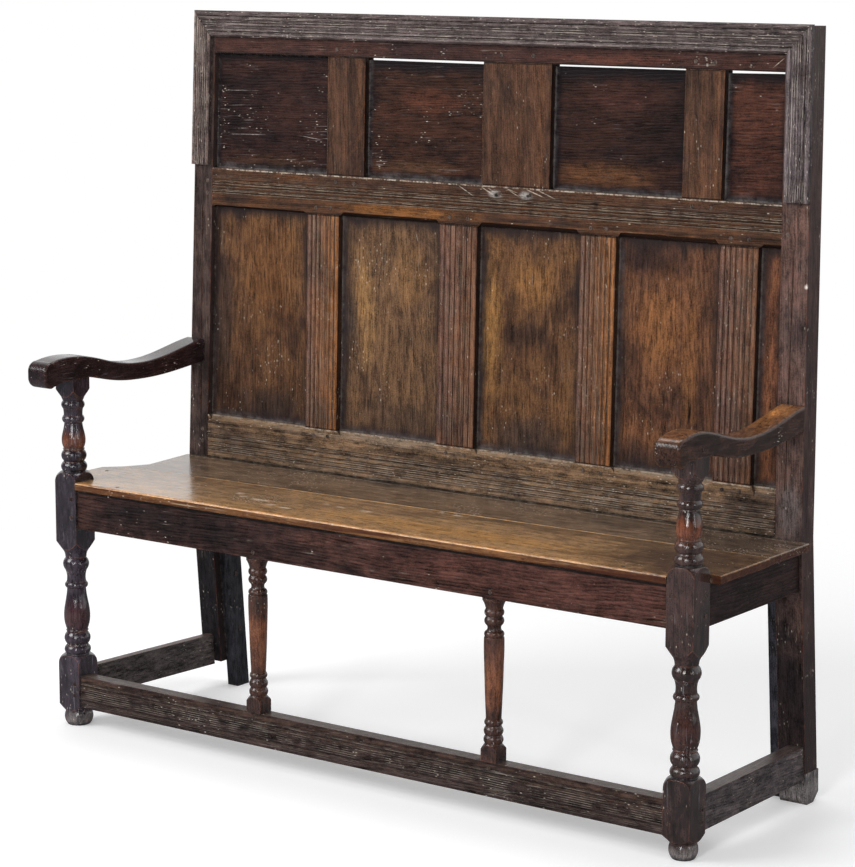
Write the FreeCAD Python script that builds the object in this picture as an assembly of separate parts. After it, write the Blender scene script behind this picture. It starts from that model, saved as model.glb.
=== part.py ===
import FreeCAD, Part
import math
import os

# An oak settle bench: a high panelled back on two raked stiles, a plank seat on joined rails,
# two turned front legs that run up to scrolled arms, and low stretchers with two balusters.
# Millimetres. X runs along the seat, Y to the back, Z up. The origin is on the floor, under the
# middle of the bench's bounding box. While the pieces are made, Y counts from the front faces of
# the front legs, and the last step moves everything to the origin.

# Seat and overall frame
seat_height = 480.0
seat_depth = 357.0
leg_span = 1410.0
back_rise = 879.0
back_lean = 1.57
stile_rake = 4.86
joint_gap = 0.3

# Front legs: a square billet with two turned lengths
leg_size = 52.0
leg_foot_height = 42.0
left_foot_radius = 26.5
right_foot_radius = 24.0
leg_block_above_stretcher = 20.0
leg_block_below_rail = 29.0
leg_block_above_rail = 10.0
arm_block_size = 45.0
arm_block_height = 22.0
arm_underside = 677.0
leg_pin_radius = 10.0
leg_pin_length = 25.0

# Stiles, which taper towards the top
stile_left_outer = -676.0
stile_left_width = 46.0
stile_right_outer = 706.0
stile_right_width = 52.0
stile_depth = 43.0
stile_taper = 0.017
stub_height = 52.0

# The new foot under the right stile
foot_seam_height = 58.0
foot_heel_rise = 16.0
foot_heel_proud = 4.0
foot_side_proud = 1.0
foot_pin_radius = 5.5
foot_pin_setback = 34.8
foot_pin_length = 23.0

# Braces beside the stiles' lower halves
brace_thickness = 26.0
brace_depth = 35.0
brace_setback = 17.0

# Back frame
rail_depth = 28.0
muntin_depth = 26.0
bottom_rail_height = 85.0
middle_rail_rise = 499.0
middle_rail_height = 76.0
top_rail_height = 79.0
top_rail_drop = 2.0
lower_muntins = [(-344.0, 75.0), (-27.5, 83.0), (277.0, 74.0), (564.0, 75.0)]
upper_muntins = [(-293.0, 88.0), (95.0, 148.0), (485.0, 78.0)]
tenon_setback = 11.0
tenon_thickness = 9.0
tenon_shoulder = 12.0
rail_tenon_length = 28.0
muntin_tenon_length = 22.0

# Panels, held loose in grooves; three upper ones have shrunk away from the top rail, each by
# its own two distances at its left and right corners
panel_thickness = 8.0
panel_setback = 13.0
panel_play = 0.5
groove_depth = 8.0
upper_panel_drops = [(0.0, 0.0), (4.0, 4.6), (3.4, 2.6), (5.0, 3.0)]

# Scratched reeding, and stopped chamfers over and under the lower panels
reed_width = 3.2
reed_depth = 1.8
bottom_rail_reeds = [15.0, 22.0, 30.0, 39.0, 47.0]
middle_rail_reeds = [29.0, 35.0, 41.0, 47.0, 53.0]
muntin_reeds = [-0.36, -0.22, -0.08, 0.08, 0.22, 0.36]
stretcher_reeds = [13.0, 42.0, 49.0]
stile_reed_inset = 16.0
chamfer_depth = 9.0
chamfer_stop = 14.0
chamfer_margin = 3.0
bottom_rail_chamfers = [9.0, 9.0, 9.0, 9.0, 17.0]
middle_rail_chamfers = [4.0, 7.5, 8.5, 9.0, 7.0]

# Applied moulding round the top of the back
moulding_top_width = 50.0
moulding_left_width = 40.0
moulding_right_width = 48.0
moulding_thickness = 11.0
moulding_overhang = 1.5
moulding_length = 299.0
moulding_reed_count = 4

# Seat planks
seat_thickness = 15.0
seat_overhang = 20.0
seat_front_proud = 2.0
seam_left = 181.0
seam_right = 215.0
seam_gap = 0.6
front_plank_corner = 150.0
front_plank_cut = 32.0
rear_plank_left_inset = 57.0
rear_plank_left_bend = 227.0
rear_plank_back_inset = 44.0
rear_plank_right_overhang = 16.0
seat_tuck = 28.0
seat_edge_radius = 4.0
seat_end_radius = 2.5
seat_clearance = 0.3

# Seat rails and bearers
seat_rail_height = 74.0
seat_rail_thickness = 25.0
seat_rail_setback = 4.0
rear_rail_height = 65.0
rear_rail_gap = 9.0
rear_rail_thickness = 24.0
rear_tenon_length = 22.0
bearer_offset = 230.0
bearer_width = 40.0
bearer_height = 25.0
bearer_tenon_length = 12.0
bearer_tenon_inset = 6.0

# Stretchers
stretcher_bottom = 40.0
stretcher_height = 62.0
stretcher_thickness = 28.0
left_stretcher_thickness = 17.0
stretcher_setback = 3.0
side_stretcher_rise = 5.0
left_stretcher_inset = 12.0
right_stretcher_inset = 2.0
leg_tenon_length = 27.0
leg_tenon_thickness = 9.0
leg_tenon_shoulder = 8.0

# Arms
arm_width = 48.0
left_arm_reach = 68.0
right_arm_reach = 50.0
left_arm_shift = 17.0
arm_edge_radius = 5.0
arm_tenon_width = 14.0
arm_tenon_height = 24.0
arm_tenon_length = 26.0
arm_tenon_rise = 4.0
arm_tenon_offset = 4.0

# Balusters between the front stretcher and the front seat rail
left_baluster_place = -221.0
right_baluster_place = 302.0
baluster_size = 32.0
baluster_block_height = 30.0
baluster_pin_radius = 8.0
baluster_pin_length = 18.0

# Pegs and nails
peg_radius = 3.6
peg_gap = 0.1
peg_proud = 0.8
peg_wander = [1.2, -0.9, 0.4, -1.4, 0.8]
back_peg_length = 24.0
back_peg_inset = 13.0
back_peg_spread = 0.24
stile_peg_inset = 12.0
stile_peg_spacing = 24.0
stile_peg_length = 22.0
leg_peg_inset = 12.0
leg_peg_length = 30.0
rail_peg_rises = [21.0, 56.0]
stretcher_peg_rises = [22.0, 44.0]
baluster_peg_length = 21.0
baluster_peg_rise = 11.0
brace_peg_heights = [120.0, 235.0, 350.0]
brace_peg_radius = 4.5
brace_peg_length = 52.0
seat_peg_radius = 4.0
seat_peg_length = 40.0
seat_peg_offsets = [190.0, 560.0]
seat_side_peg_place = 128.0
nail_radius = 1.6
nail_length = 22.0
nail_pitch = 215.0
nail_inset = 13.0
nail_end_inset = 35.0

V = FreeCAD.Vector
AXES = {"x": V(1, 0, 0), "y": V(0, 1, 0), "z": V(0, 0, 1)}
SIDES = ["left", "right"]
SIGN = {"left": -1.0, "right": 1.0}

# Left and right values in one place
stile_outer = {"left": stile_left_outer, "right": stile_right_outer}
stile_width = {"left": stile_left_width, "right": stile_right_width}
stile_foot = {"left": stub_height, "right": foot_seam_height}
moulding_width = {"left": moulding_left_width, "right": moulding_right_width}
stretcher_inset = {"left": left_stretcher_inset, "right": right_stretcher_inset}
side_stretcher_thickness = {"left": left_stretcher_thickness, "right": stretcher_thickness}
foot_radius = {"left": left_foot_radius, "right": right_foot_radius}
arm_reach = {"left": left_arm_reach, "right": right_arm_reach}
arm_shift = {"left": left_arm_shift, "right": 0.0}
baluster_place = {"left": left_baluster_place, "right": right_baluster_place}

# Places worked out from the sizes above
lean_slope = math.tan(math.radians(back_lean))
rake_slope = math.tan(math.radians(stile_rake))
leg_outer = leg_span / 2
leg_inner = leg_outer - leg_size
leg_centre = leg_outer - leg_size / 2
back_top = seat_height + back_rise
seat_underside = seat_height - seat_thickness
seat_rail_bottom = seat_underside - seat_rail_height
rear_rail_front = seat_depth + rear_rail_gap
rear_rail_bottom = seat_underside - rear_rail_height
stretcher_top = stretcher_bottom + stretcher_height
bottom_rail_start = seat_height + seat_clearance + rail_depth * lean_slope
bottom_rail_end = bottom_rail_start + bottom_rail_height
middle_rail_start = seat_height + middle_rail_rise
middle_rail_end = middle_rail_start + middle_rail_height
top_rail_end = back_top - top_rail_drop
top_rail_start = top_rail_end - top_rail_height
baluster_y = stretcher_setback + stretcher_thickness / 2
arm_tenon_start = arm_underside + arm_tenon_rise

# Further than any piece reaches, for cutting tools
FAR = 2 * back_top
PAST = 60.0


def box(x0, x1, y0, y1, z0, z1):
    """A block between two corners, whose X values may come in either order."""
    return Part.makeBox(abs(x1 - x0), y1 - y0, z1 - z0, V(min(x0, x1), y0, z0))


def slab(z0, z1):
    """Everything between two heights."""
    return box(-FAR, FAR, -FAR, FAR, z0, z1)


def prism(points, along, start, end):
    """A polygon pushed along one axis; its points hold the other two coordinates in order."""
    place = {"x": lambda a, b: V(start, a, b),
             "y": lambda a, b: V(a, start, b),
             "z": lambda a, b: V(a, b, start)}[along]
    corners = [place(a, b) for a, b in points]
    outline = Part.makePolygon(corners + corners[:1])
    return Part.Face(outline).extrude(AXES[along] * (end - start))


def rod(x, y, z, along, radius, length):
    """A round peg, pin or nail from a point along one axis."""
    return Part.makeCylinder(radius, length, V(x, y, z), AXES[along])


def side_rod(side, x, y, z, radius, length):
    """A round peg driven in from a bench side, from a point towards the middle."""
    start = x - length if side == "right" else x
    return rod(start, y, z, "x", radius, length)


def joined(shapes):
    """One solid from several that touch or cross."""
    return shapes[0].multiFuse(shapes[1:]).removeSplitter()


def cut_all(shape, cutters):
    """A shape with every cutter taken away from it."""
    return shape.cut(Part.makeCompound(cutters))


def edges_where(shape, test):
    """The edges of a shape whose bounding boxes pass a test."""
    return [edge for edge in shape.Edges if test(edge.BoundBox)]


def turned(outline, start, end):
    """A lathe-turned length about the Z axis, with a flat disc at each end.

    The outline is a list of steps of (radius, height), whose heights are stretched so that they
    run from start to end. A step of two numbers is a straight run to that point, a step of four
    is an arc through the first point to the second, and a list is a smooth curve through all of
    its points."""
    stretch = (end - start) / outline[-1][-1]
    here = V(outline[0][0], 0, start)
    edges = [Part.LineSegment(V(0, 0, start), here).toShape()]
    for step in outline[1:]:
        if isinstance(step, list):
            points = [here] + [V(radius, 0, start + stretch * height) for radius, height in step]
            curve = Part.BSplineCurve()
            curve.interpolate(points)
            edges.append(curve.toShape())
            here = points[-1]
            continue
        point = V(step[0], 0, start + stretch * step[1])
        if len(step) == 4:
            last = V(step[2], 0, start + stretch * step[3])
            edges.append(Part.Arc(here, point, last).toShape())
            point = last
        else:
            edges.append(Part.LineSegment(here, point).toShape())
        here = point
    edges.append(Part.LineSegment(here, V(0, 0, end)).toShape())
    edges.append(Part.LineSegment(V(0, 0, end), V(0, 0, start)).toShape())
    return Part.Face(Part.Wire(edges)).revolve(V(0, 0, 0), V(0, 0, 1), 360)


def lean_back(shape):
    """An upright piece of the back, leaned about the line where the back meets the seat."""
    leaned = shape.copy()
    leaned.rotate(V(0, seat_depth, seat_height), AXES["x"], -back_lean)
    return leaned


def rake_back(shape):
    """An upright piece under the seat, raked about the same line."""
    raked = shape.copy()
    raked.rotate(V(0, seat_depth, seat_height), AXES["x"], stile_rake)
    return raked


def stile_front(height):
    """Y of the stiles' front faces at a height, as they stand in the finished bench."""
    if height < seat_height:
        return seat_depth + rake_slope * (seat_height - height)
    return seat_depth + lean_slope * (height - seat_height)


def region_behind(offset):
    """Everything behind the stiles' front faces, moved back by an offset."""
    return prism([(stile_front(-FAR) + offset, -FAR), (seat_depth + offset, seat_height),
                  (stile_front(FAR) + offset, FAR), (FAR, FAR), (FAR, -FAR)], "x", -FAR, FAR)


def stile_edges(side, height):
    """The outer and inner X of a stile at a height of the upright back."""
    outer = stile_outer[side] - SIGN[side] * stile_taper * max(0.0, height - seat_height)
    return outer, outer - SIGN[side] * stile_width[side]


def wander(number):
    """The small offset of a hand-bored hole, one after another from a short cycle."""
    return peg_wander[number % len(peg_wander)]


# The back frame, built upright and then leaned

def reed_cut(along, face, place, start, end):
    """A V groove in a front face, along X or along Z."""
    half = reed_width / 2
    slope = half / reed_depth
    vee = [(face - 1, place - half - slope), (face + reed_depth, place), (face - 1, place + half + slope)]
    if along == "z":
        vee = [(b, a) for a, b in vee]
    return prism(vee, along, start, end)


def stopped_chamfer(x0, x1, edge, size, up):
    """The wedge that a stopped chamfer takes off a rail's front edge between two muntins.

    It slopes from the rail's edge into its face, and its ends rise to the arris. Up is 1 on a
    top edge and -1 on a bottom edge."""
    face = seat_depth
    over = size / chamfer_depth
    wedge = prism([(face - 1, edge - up * (size + over)), (face + chamfer_depth, edge),
                   (face + chamfer_depth, edge + up), (face - 1, edge + up)], "x", x0, x1)
    window = prism([(x0 + chamfer_margin, edge + up), (x0 + chamfer_margin, edge),
                    (x0 + chamfer_margin + chamfer_stop, edge - up * 2 * size),
                    (x1 - chamfer_margin - chamfer_stop, edge - up * 2 * size),
                    (x1 - chamfer_margin, edge), (x1 - chamfer_margin, edge + up)],
                   "y", face - 2, face + 2 * chamfer_depth)
    return wedge.common(window)


def rail_span(z0, z1, extra):
    """A rail's front outline between the stiles, each end longer by an extra length."""
    return [(stile_edges(side, height)[1] + SIGN[side] * extra, height)
            for side, height in (("left", z0), ("right", z0), ("right", z1), ("left", z1))]


def rail_tenons(z0, z1, grow=0.0):
    """The two tenons of a back rail as one bar that runs through it."""
    outline = rail_span(z0 + tenon_shoulder - grow, z1 - tenon_shoulder + grow,
                        rail_tenon_length + grow)
    front = seat_depth + tenon_setback
    return prism(outline, "y", front - grow, front + tenon_thickness + grow)


def muntin_tenons(centre, width, z0, z1, grow=0.0):
    """The two tenons of a muntin as one bar that runs through it."""
    front = seat_depth + tenon_setback
    half = width / 2 - tenon_shoulder + grow
    length = muntin_tenon_length + grow
    return box(centre - half, centre + half, front - grow, front + tenon_thickness + grow,
               z0 - length, z1 + length)


def panel_openings(muntins, z0, z1):
    """The left and right edges of each panel opening in a row, at its bottom and at its top."""
    edges = [(stile_edges("left", z0)[1], stile_edges("left", z1)[1])]
    for centre, width in muntins:
        edges.append((centre - width / 2, centre - width / 2))
        edges.append((centre + width / 2, centre + width / 2))
    edges.append((stile_edges("right", z0)[1], stile_edges("right", z1)[1]))
    return list(zip(edges[0::2], edges[1::2]))


def panel_solid(opening, z0, z1, margin, thickness, drops=(0.0, 0.0)):
    """A panel, or its groove, that reaches past its opening by a margin on every side.

    A panel with drops ends below the rail over it by that much at its left and right instead."""
    left, right = opening
    middle = seat_depth + panel_setback + panel_thickness / 2
    tops = [z1 - drop if drop > 0 else z1 + margin for drop in drops]
    outline = [(left[0] - margin, z0 - margin), (right[0] + margin, z0 - margin),
               (right[1] + margin, tops[1]), (left[1] - margin, tops[0])]
    return prism(outline, "y", middle - thickness / 2, middle + thickness / 2)


def back_peg_places():
    """X, Z and how far each peg of the upright back stands out of its front face."""
    places = []
    for muntins, z0, z1 in ((lower_muntins, bottom_rail_end, middle_rail_start),
                            (upper_muntins, middle_rail_end, top_rail_start)):
        for centre, width in muntins:
            for height in (z0 - back_peg_inset, z1 + back_peg_inset):
                for hand in SIDES:
                    x = centre + SIGN[hand] * back_peg_spread * width + wander(len(places))
                    places.append((x, height - wander(len(places)) / 2, peg_proud))
    rails = ((bottom_rail_start, bottom_rail_end, peg_proud),
             (middle_rail_start, middle_rail_end, peg_proud), (top_rail_start, top_rail_end, 0.0))
    for z0, z1, proud in rails:
        for side in SIDES:
            for half in (-0.5, 0.5):
                height = (z0 + z1) / 2 + half * stile_peg_spacing
                x = stile_edges(side, height)[1] + SIGN[side] * stile_peg_inset
                places.append((x, height, proud))
    return places


def back_pegs(grow=0.0):
    """Pegs through the tenons of the upright back; those under the moulding are flush."""
    return [rod(x, seat_depth - proud, z, "y", peg_radius + grow, back_peg_length + proud + grow)
            for x, z, proud in back_peg_places()]


def moulding_section(width):
    """The moulding's section as (distance from the outer edge, thickness) points."""
    thick = moulding_thickness
    points = [(0.0, 0.0), (0.0, 0.75 * thick), (0.04 * width, 0.92 * thick),
              (0.17 * width, 0.92 * thick), (0.20 * width, 0.72 * thick),
              (0.23 * width, thick), (0.32 * width, thick)]
    pitch = 0.44 * width / moulding_reed_count
    for number in range(moulding_reed_count):
        start = 0.32 * width + number * pitch
        level = thick * (1.0 - 0.05 * number)
        points.append((start + 0.22 * pitch, level - 0.16 * thick))
        points.append((start + 0.44 * pitch, level - 0.03 * thick))
        points.append((start + pitch, level - 0.05 * thick))
    points += [(0.80 * width, 0.60 * thick), (0.85 * width, 0.80 * thick),
               (0.93 * width, 0.82 * thick), (0.97 * width, 0.70 * thick),
               (width, 0.62 * thick), (width, 0.0)]
    return points


def make_moulding():
    """Three lengths of moulding, mitred at the two top corners of the upright back."""
    face = seat_depth
    low = back_top - moulding_top_width
    foot = back_top - moulding_length
    outer = {}
    mitre = {}
    for side in SIDES:
        outer[side] = stile_edges(side, back_top)[0] + SIGN[side] * moulding_overhang
        inner = outer[side] - SIGN[side] * moulding_width[side]
        run = V(inner - outer[side], 0, low - back_top)
        start = V(outer[side], 0, back_top) - run
        end = V(inner, 0, low) + run
        mitre[side] = [(start.x, start.z), (end.x, end.z)]
    depths = [face - 2 * moulding_thickness, face + 1]
    section = [(face - depth, back_top - across) for across, depth in moulding_section(moulding_top_width)]
    bar = prism(section, "x", outer["left"] - PAST, outer["right"] + PAST)
    keep = prism([mitre["left"][0], mitre["right"][0], mitre["right"][1], mitre["left"][1]],
                 "y", depths[0], depths[1])
    pieces = {"moulding_top": bar.common(keep)}
    lean_in = math.degrees(math.atan(stile_taper))
    for side in SIDES:
        section = [(outer[side] - SIGN[side] * across, face - depth)
                   for across, depth in moulding_section(moulding_width[side])]
        bar = prism(section, "z", foot - PAST, back_top + PAST)
        bar.rotate(V(outer[side], face, back_top), AXES["y"], -SIGN[side] * lean_in)
        away = outer[side] + SIGN[side] * PAST
        keep = prism([mitre[side][0], mitre[side][1], (mitre[side][1][0], foot), (away, foot),
                      (away, back_top + PAST)], "y", depths[0], depths[1])
        pieces["moulding_" + side] = bar.common(keep)
    return pieces


def moulding_nails(grow=0.0):
    """Nails through the moulding, spaced along its top and two down each side."""
    places = []
    count = int((leg_span - 2 * nail_pitch) // nail_pitch)
    for number in range(count + 1):
        places.append(((number - count / 2) * nail_pitch, back_top - nail_inset))
    for side in SIDES:
        for height in (back_top - moulding_length + nail_end_inset,
                       back_top - moulding_top_width - nail_end_inset):
            outer = stile_edges(side, height)[0] + SIGN[side] * moulding_overhang
            places.append((outer - SIGN[side] * nail_inset, height))
    start = seat_depth - moulding_thickness
    return [rod(x, start, z, "y", nail_radius + grow, nail_length + grow) for x, z in places]


def build_back(nodes):
    """Panels, muntins, rails, moulding and pegs of the back; returns what the stiles must clear."""
    rows = [("lower", lower_muntins, bottom_rail_end, middle_rail_start, []),
            ("upper", upper_muntins, middle_rail_end, top_rail_start, upper_panel_drops)]
    rails = [("bottom", bottom_rail_start, bottom_rail_end, bottom_rail_reeds),
             ("middle", middle_rail_start, middle_rail_end, middle_rail_reeds),
             ("top", top_rail_start, top_rail_end, [])]
    peg_holes = back_pegs(peg_gap)
    nail_holes = moulding_nails(peg_gap)
    grooves = []
    mortises = []
    for row, muntins, z0, z1, drops in rows:
        for number, opening in enumerate(panel_openings(muntins, z0, z1)):
            drop = drops[number] if number < len(drops) else (0.0, 0.0)
            grooves.append(panel_solid(opening, z0, z1, groove_depth, panel_thickness + panel_play))
            panel = panel_solid(opening, z0, z1, groove_depth - 2 * panel_play, panel_thickness, drop)
            nodes[row + "_panel_" + str(number + 1)] = lean_back(panel)
    for row, muntins, z0, z1, drops in rows:
        for number, (centre, width) in enumerate(muntins):
            board = box(centre - width / 2, centre + width / 2, seat_depth,
                        seat_depth + muntin_depth, z0, z1)
            muntin = joined([board, muntin_tenons(centre, width, z0, z1)])
            cutters = grooves + peg_holes
            if row == "lower":
                cutters = cutters + [reed_cut("z", seat_depth, centre + share * width, z0, z1)
                                     for share in muntin_reeds]
            nodes[row + "_muntin_" + str(number + 1)] = lean_back(cut_all(muntin, cutters))
            mortises.append(muntin_tenons(centre, width, z0, z1, joint_gap))
    openings = panel_openings(lower_muntins, bottom_rail_end, middle_rail_start)
    chamfers = []
    for number, (left, right) in enumerate(openings):
        run_out = PAST if number == len(openings) - 1 else 0.0
        chamfers.append(stopped_chamfer(left[0], right[0] + run_out, bottom_rail_end,
                                        bottom_rail_chamfers[number], 1))
        chamfers.append(stopped_chamfer(left[1], right[1] + run_out, middle_rail_start,
                                        middle_rail_chamfers[number], -1))
    for name, z0, z1, reeds in rails:
        body = prism(rail_span(z0, z1, 0.0), "y", seat_depth, seat_depth + rail_depth)
        rail = joined([body, rail_tenons(z0, z1)])
        lines = [reed_cut("x", seat_depth, z0 + rise, -FAR, FAR) for rise in reeds]
        cutters = grooves + mortises + peg_holes + nail_holes + chamfers + lines
        nodes["back_rail_" + name] = lean_back(cut_all(rail, cutters))
    for name, piece in make_moulding().items():
        nodes[name] = lean_back(cut_all(piece, nail_holes))
    nodes["pegs_back"] = lean_back(Part.makeCompound(back_pegs()))
    nodes["moulding_nails"] = lean_back(Part.makeCompound(moulding_nails()))
    rail_mortises = [rail_tenons(z0, z1, joint_gap) for name, z0, z1, reeds in rails]
    return grooves + rail_mortises + peg_holes + nail_holes


# Side rails, side stretchers and arms, from a front leg to a stile

def skewed(shape, side, shift, length):
    """A side piece turned about its leg's upright axis, so that it lands on the stile."""
    turned_piece = shape.copy()
    angle = -math.degrees(math.atan(shift / length))
    turned_piece.rotate(V(SIGN[side] * leg_centre, leg_size / 2, 0), AXES["z"], angle)
    return turned_piece


def side_bar(side, inset, thickness, z0, z1, front, rear):
    """A bar along one side, from a front Y to a distance behind the stile's front face."""
    outer = SIGN[side] * (leg_outer - inset)
    bar = box(outer, outer - SIGN[side] * thickness, 0, FAR, z0, z1)
    if side == "left":
        stile_middle = sum(stile_edges(side, seat_height)) / 2
        bar = skewed(bar, side, stile_middle + leg_centre, seat_depth - leg_size / 2)
    bar = bar.cut(region_behind(rear))
    return bar.cut(box(-FAR, FAR, -PAST, front, z0 - 1, z1 + 1))


def side_levels(kind, side):
    """Inset, thickness, bottom and top of a side rail or a side stretcher."""
    if kind == "seat_rail":
        return seat_rail_setback, seat_rail_thickness, seat_rail_bottom, seat_underside
    return (stretcher_inset[side], side_stretcher_thickness[side],
            stretcher_bottom + side_stretcher_rise, stretcher_top + side_stretcher_rise)


def side_tenons(kind, side, grow=0.0):
    """The two tenons of a side rail or a side stretcher as one thin bar."""
    inset, thickness, z0, z1 = side_levels(kind, side)
    cheek = (thickness - leg_tenon_thickness) / 2 - grow
    return side_bar(side, inset + cheek, leg_tenon_thickness + 2 * grow,
                    z0 + leg_tenon_shoulder - grow, z1 - leg_tenon_shoulder + grow,
                    leg_size - leg_tenon_length - grow, leg_tenon_length + grow)


def side_mortises():
    """What the legs, stiles and foot tip must clear for the side rails and side stretchers."""
    return [side_tenons(kind, side, joint_gap) for kind in ("seat_rail", "stretcher") for side in SIDES]


def make_side_piece(kind, side):
    """A side rail or a side stretcher with its tenons and peg holes."""
    inset, thickness, z0, z1 = side_levels(kind, side)
    body = side_bar(side, inset, thickness, z0, z1, leg_size, 0.0)
    piece = joined([body, side_tenons(kind, side)])
    return cut_all(piece, side_leg_pegs(peg_gap) + stile_pegs(peg_gap) + seat_pegs(peg_gap))


def arm_outline(side):
    """The arm's side outline as a face: a scrolled knuckle, a hump, a dip and a rising end."""
    tip = -arm_reach[side]
    low = arm_underside
    rear = seat_depth + PAST

    def spline(points):
        """A smooth curve through (Y, height over the arm's underside) points."""
        curve = Part.BSplineCurve()
        curve.interpolate([V(0, y, low + rise) for y, rise in points])
        return curve.toShape()

    def arc(first, middle, last):
        """An arc through three such points."""
        return Part.Arc(*[V(0, y, low + rise) for y, rise in (first, middle, last)]).toShape()

    def line(first, last):
        """A straight run between two such points."""
        return Part.LineSegment(*[V(0, y, low + rise) for y, rise in (first, last)]).toShape()

    crown = (tip + 20.0, 39.0)
    nose = (tip, 22.0)
    lip = (tip, 6.0)
    chin = (tip + 20.0, -11.0)
    throat = (-4.0, 0.0)
    heel = (leg_size, 0.0)
    rear_low = (rear, -1.0)
    rear_high = (rear, 41.0)
    above = [(0.006, 44.0), (0.168, 37.0), (0.336, 21.0), (0.518, 12.5), (0.70, 17.0), (0.868, 29.0)]
    below = [(0.868, -13.0), (0.70, -19.0), (0.532, -20.5), (0.35, -16.0), (0.202, -5.0)]
    top = spline([crown] + [(share * seat_depth, rise) for share, rise in above] + [rear_high])
    under = spline([rear_low] + [(share * seat_depth, rise) for share, rise in below] + [heel])
    return Part.Face(Part.Wire([top, line(rear_high, rear_low), under, line(heel, throat),
                                arc(throat, ((throat[0] + chin[0]) / 2, -4.0), chin),
                                arc(chin, (tip + 5.0, -4.5), lip), line(lip, nose),
                                arc(nose, (tip + 5.5, 33.5), crown)]))


def arm_tenon(side, grow=0.0):
    """The arm's tenon in the stile, which starts a little inside the arm."""
    centre = SIGN[side] * (leg_centre - arm_tenon_offset)
    half = arm_tenon_width / 2 + grow
    bar = box(centre - half, centre + half, seat_depth - arm_tenon_length, FAR,
              arm_tenon_start - grow, arm_tenon_start + arm_tenon_height + grow)
    bar = skewed(bar, side, arm_shift[side], seat_depth)
    return bar.cut(region_behind(arm_tenon_length + grow))


def make_arm(side):
    """One arm with rounded arrises, its rear end cut to the leaning stile and tenoned into it."""
    body = arm_outline(side).extrude(V(arm_width, 0, 0))
    body.translate(V(SIGN[side] * leg_centre - arm_width / 2, 0, 0))
    rear = seat_depth + PAST

    def is_arris(bounds):
        """Whether an edge runs along a side face, but not along the flat over the leg."""
        on_flat = bounds.ZMax - bounds.ZMin < 1e-6 and abs(bounds.ZMin - arm_underside) < 1e-6
        return bounds.XLength < 1e-6 and bounds.YMin < rear - 1 and not on_flat

    body = body.makeFillet(arm_edge_radius, edges_where(body, is_arris))
    body = skewed(body, side, arm_shift[side], seat_depth)
    body = joined([body.cut(region_behind(0.0)), arm_tenon(side)])
    socket = rod(SIGN[side] * leg_centre, leg_size / 2, arm_underside - 1, "z",
                 leg_pin_radius + joint_gap, leg_pin_length + joint_gap + 1)
    return cut_all(body, [socket] + arm_pegs(peg_gap))


# Pegs of the seat, legs, arms and braces

def front_leg_pegs(grow=0.0):
    """Pegs seen on the front faces of the two front legs."""
    heights = [seat_rail_bottom + rise for rise in rail_peg_rises]
    heights += [stretcher_bottom + rise for rise in stretcher_peg_rises]
    return [rod(SIGN[side] * (leg_inner + leg_peg_inset), -peg_proud, height, "y",
                peg_radius + grow, leg_peg_length + grow) for side in SIDES for height in heights]


def side_peg_heights():
    """Heights of the pegs through the tenons of the side rails and side stretchers."""
    heights = [seat_rail_bottom + rise for rise in rail_peg_rises]
    return heights + [stretcher_bottom + rise for rise in stretcher_peg_rises]


def side_leg_pegs(grow=0.0):
    """Pegs seen on the outer faces of the front legs."""
    return [side_rod(side, SIGN[side] * (leg_outer + peg_proud), leg_size - leg_peg_inset, height,
                     peg_radius + grow, leg_peg_length + grow)
            for side in SIDES for height in side_peg_heights()]


def stile_pegs(grow=0.0):
    """Pegs through the outer faces of the stiles into the side rails and side stretchers."""
    return [side_rod(side, stile_outer[side] + SIGN[side] * peg_proud,
                     stile_front(height) + leg_peg_inset, height, peg_radius + grow,
                     stile_peg_length + grow)
            for side in SIDES for height in side_peg_heights()]


def arm_pegs(grow=0.0):
    """One peg through each arm into the leg's pin, and one through each stile into the arm."""
    pegs = []
    front = arm_underside + leg_pin_length / 2
    rear = arm_tenon_start + arm_tenon_height / 2
    for side in SIDES:
        face = SIGN[side] * (leg_centre + arm_width / 2 + peg_proud)
        pegs.append(side_rod(side, face, leg_size / 2, front, peg_radius + grow, leg_peg_length + grow))
        face = stile_edges(side, rear)[0] + SIGN[side] * peg_proud
        pegs.append(side_rod(side, face, stile_front(rear) + leg_peg_inset, rear,
                             peg_radius + grow, leg_peg_length + grow))
    return pegs


def baluster_pegs(grow=0.0):
    """Pegs through the front rail and the front stretcher into the balusters' pins."""
    places = [(seat_rail_setback, seat_rail_bottom + baluster_peg_rise),
              (stretcher_setback, stretcher_top - baluster_peg_rise)]
    return [rod(baluster_place[side], face - peg_proud, height, "y", peg_radius + grow,
                baluster_peg_length + grow) for side in SIDES for face, height in places]


def brace_pegs(grow=0.0):
    """Pegs from each brace's inner face through it into the stile beside it."""
    pegs = []
    for side in SIDES:
        other = {"left": "right", "right": "left"}[side]
        face = stile_edges(side, seat_height)[1] - SIGN[side] * (brace_thickness + peg_proud)
        for height in brace_peg_heights:
            y = stile_front(height) + brace_setback + brace_depth / 2
            pegs.append(side_rod(other, face, y, height, brace_peg_radius + grow,
                                 brace_peg_length + grow))
    return pegs


def seat_pegs(grow=0.0):
    """Pegs through the front plank into the front rail and the side rails, cut off flush."""
    front = seat_rail_setback + seat_rail_thickness / 2
    side_x = leg_outer - seat_rail_setback - seat_rail_thickness / 2
    places = []
    for side in SIDES:
        places += [(SIGN[side] * offset, front) for offset in seat_peg_offsets]
        places.append((SIGN[side] * side_x, seat_side_peg_place))
    return [rod(x, y, seat_height - seat_peg_length - grow, "z", seat_peg_radius + grow,
                seat_peg_length + grow) for x, y in places]


# Seat, rear rail and bearers

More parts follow.
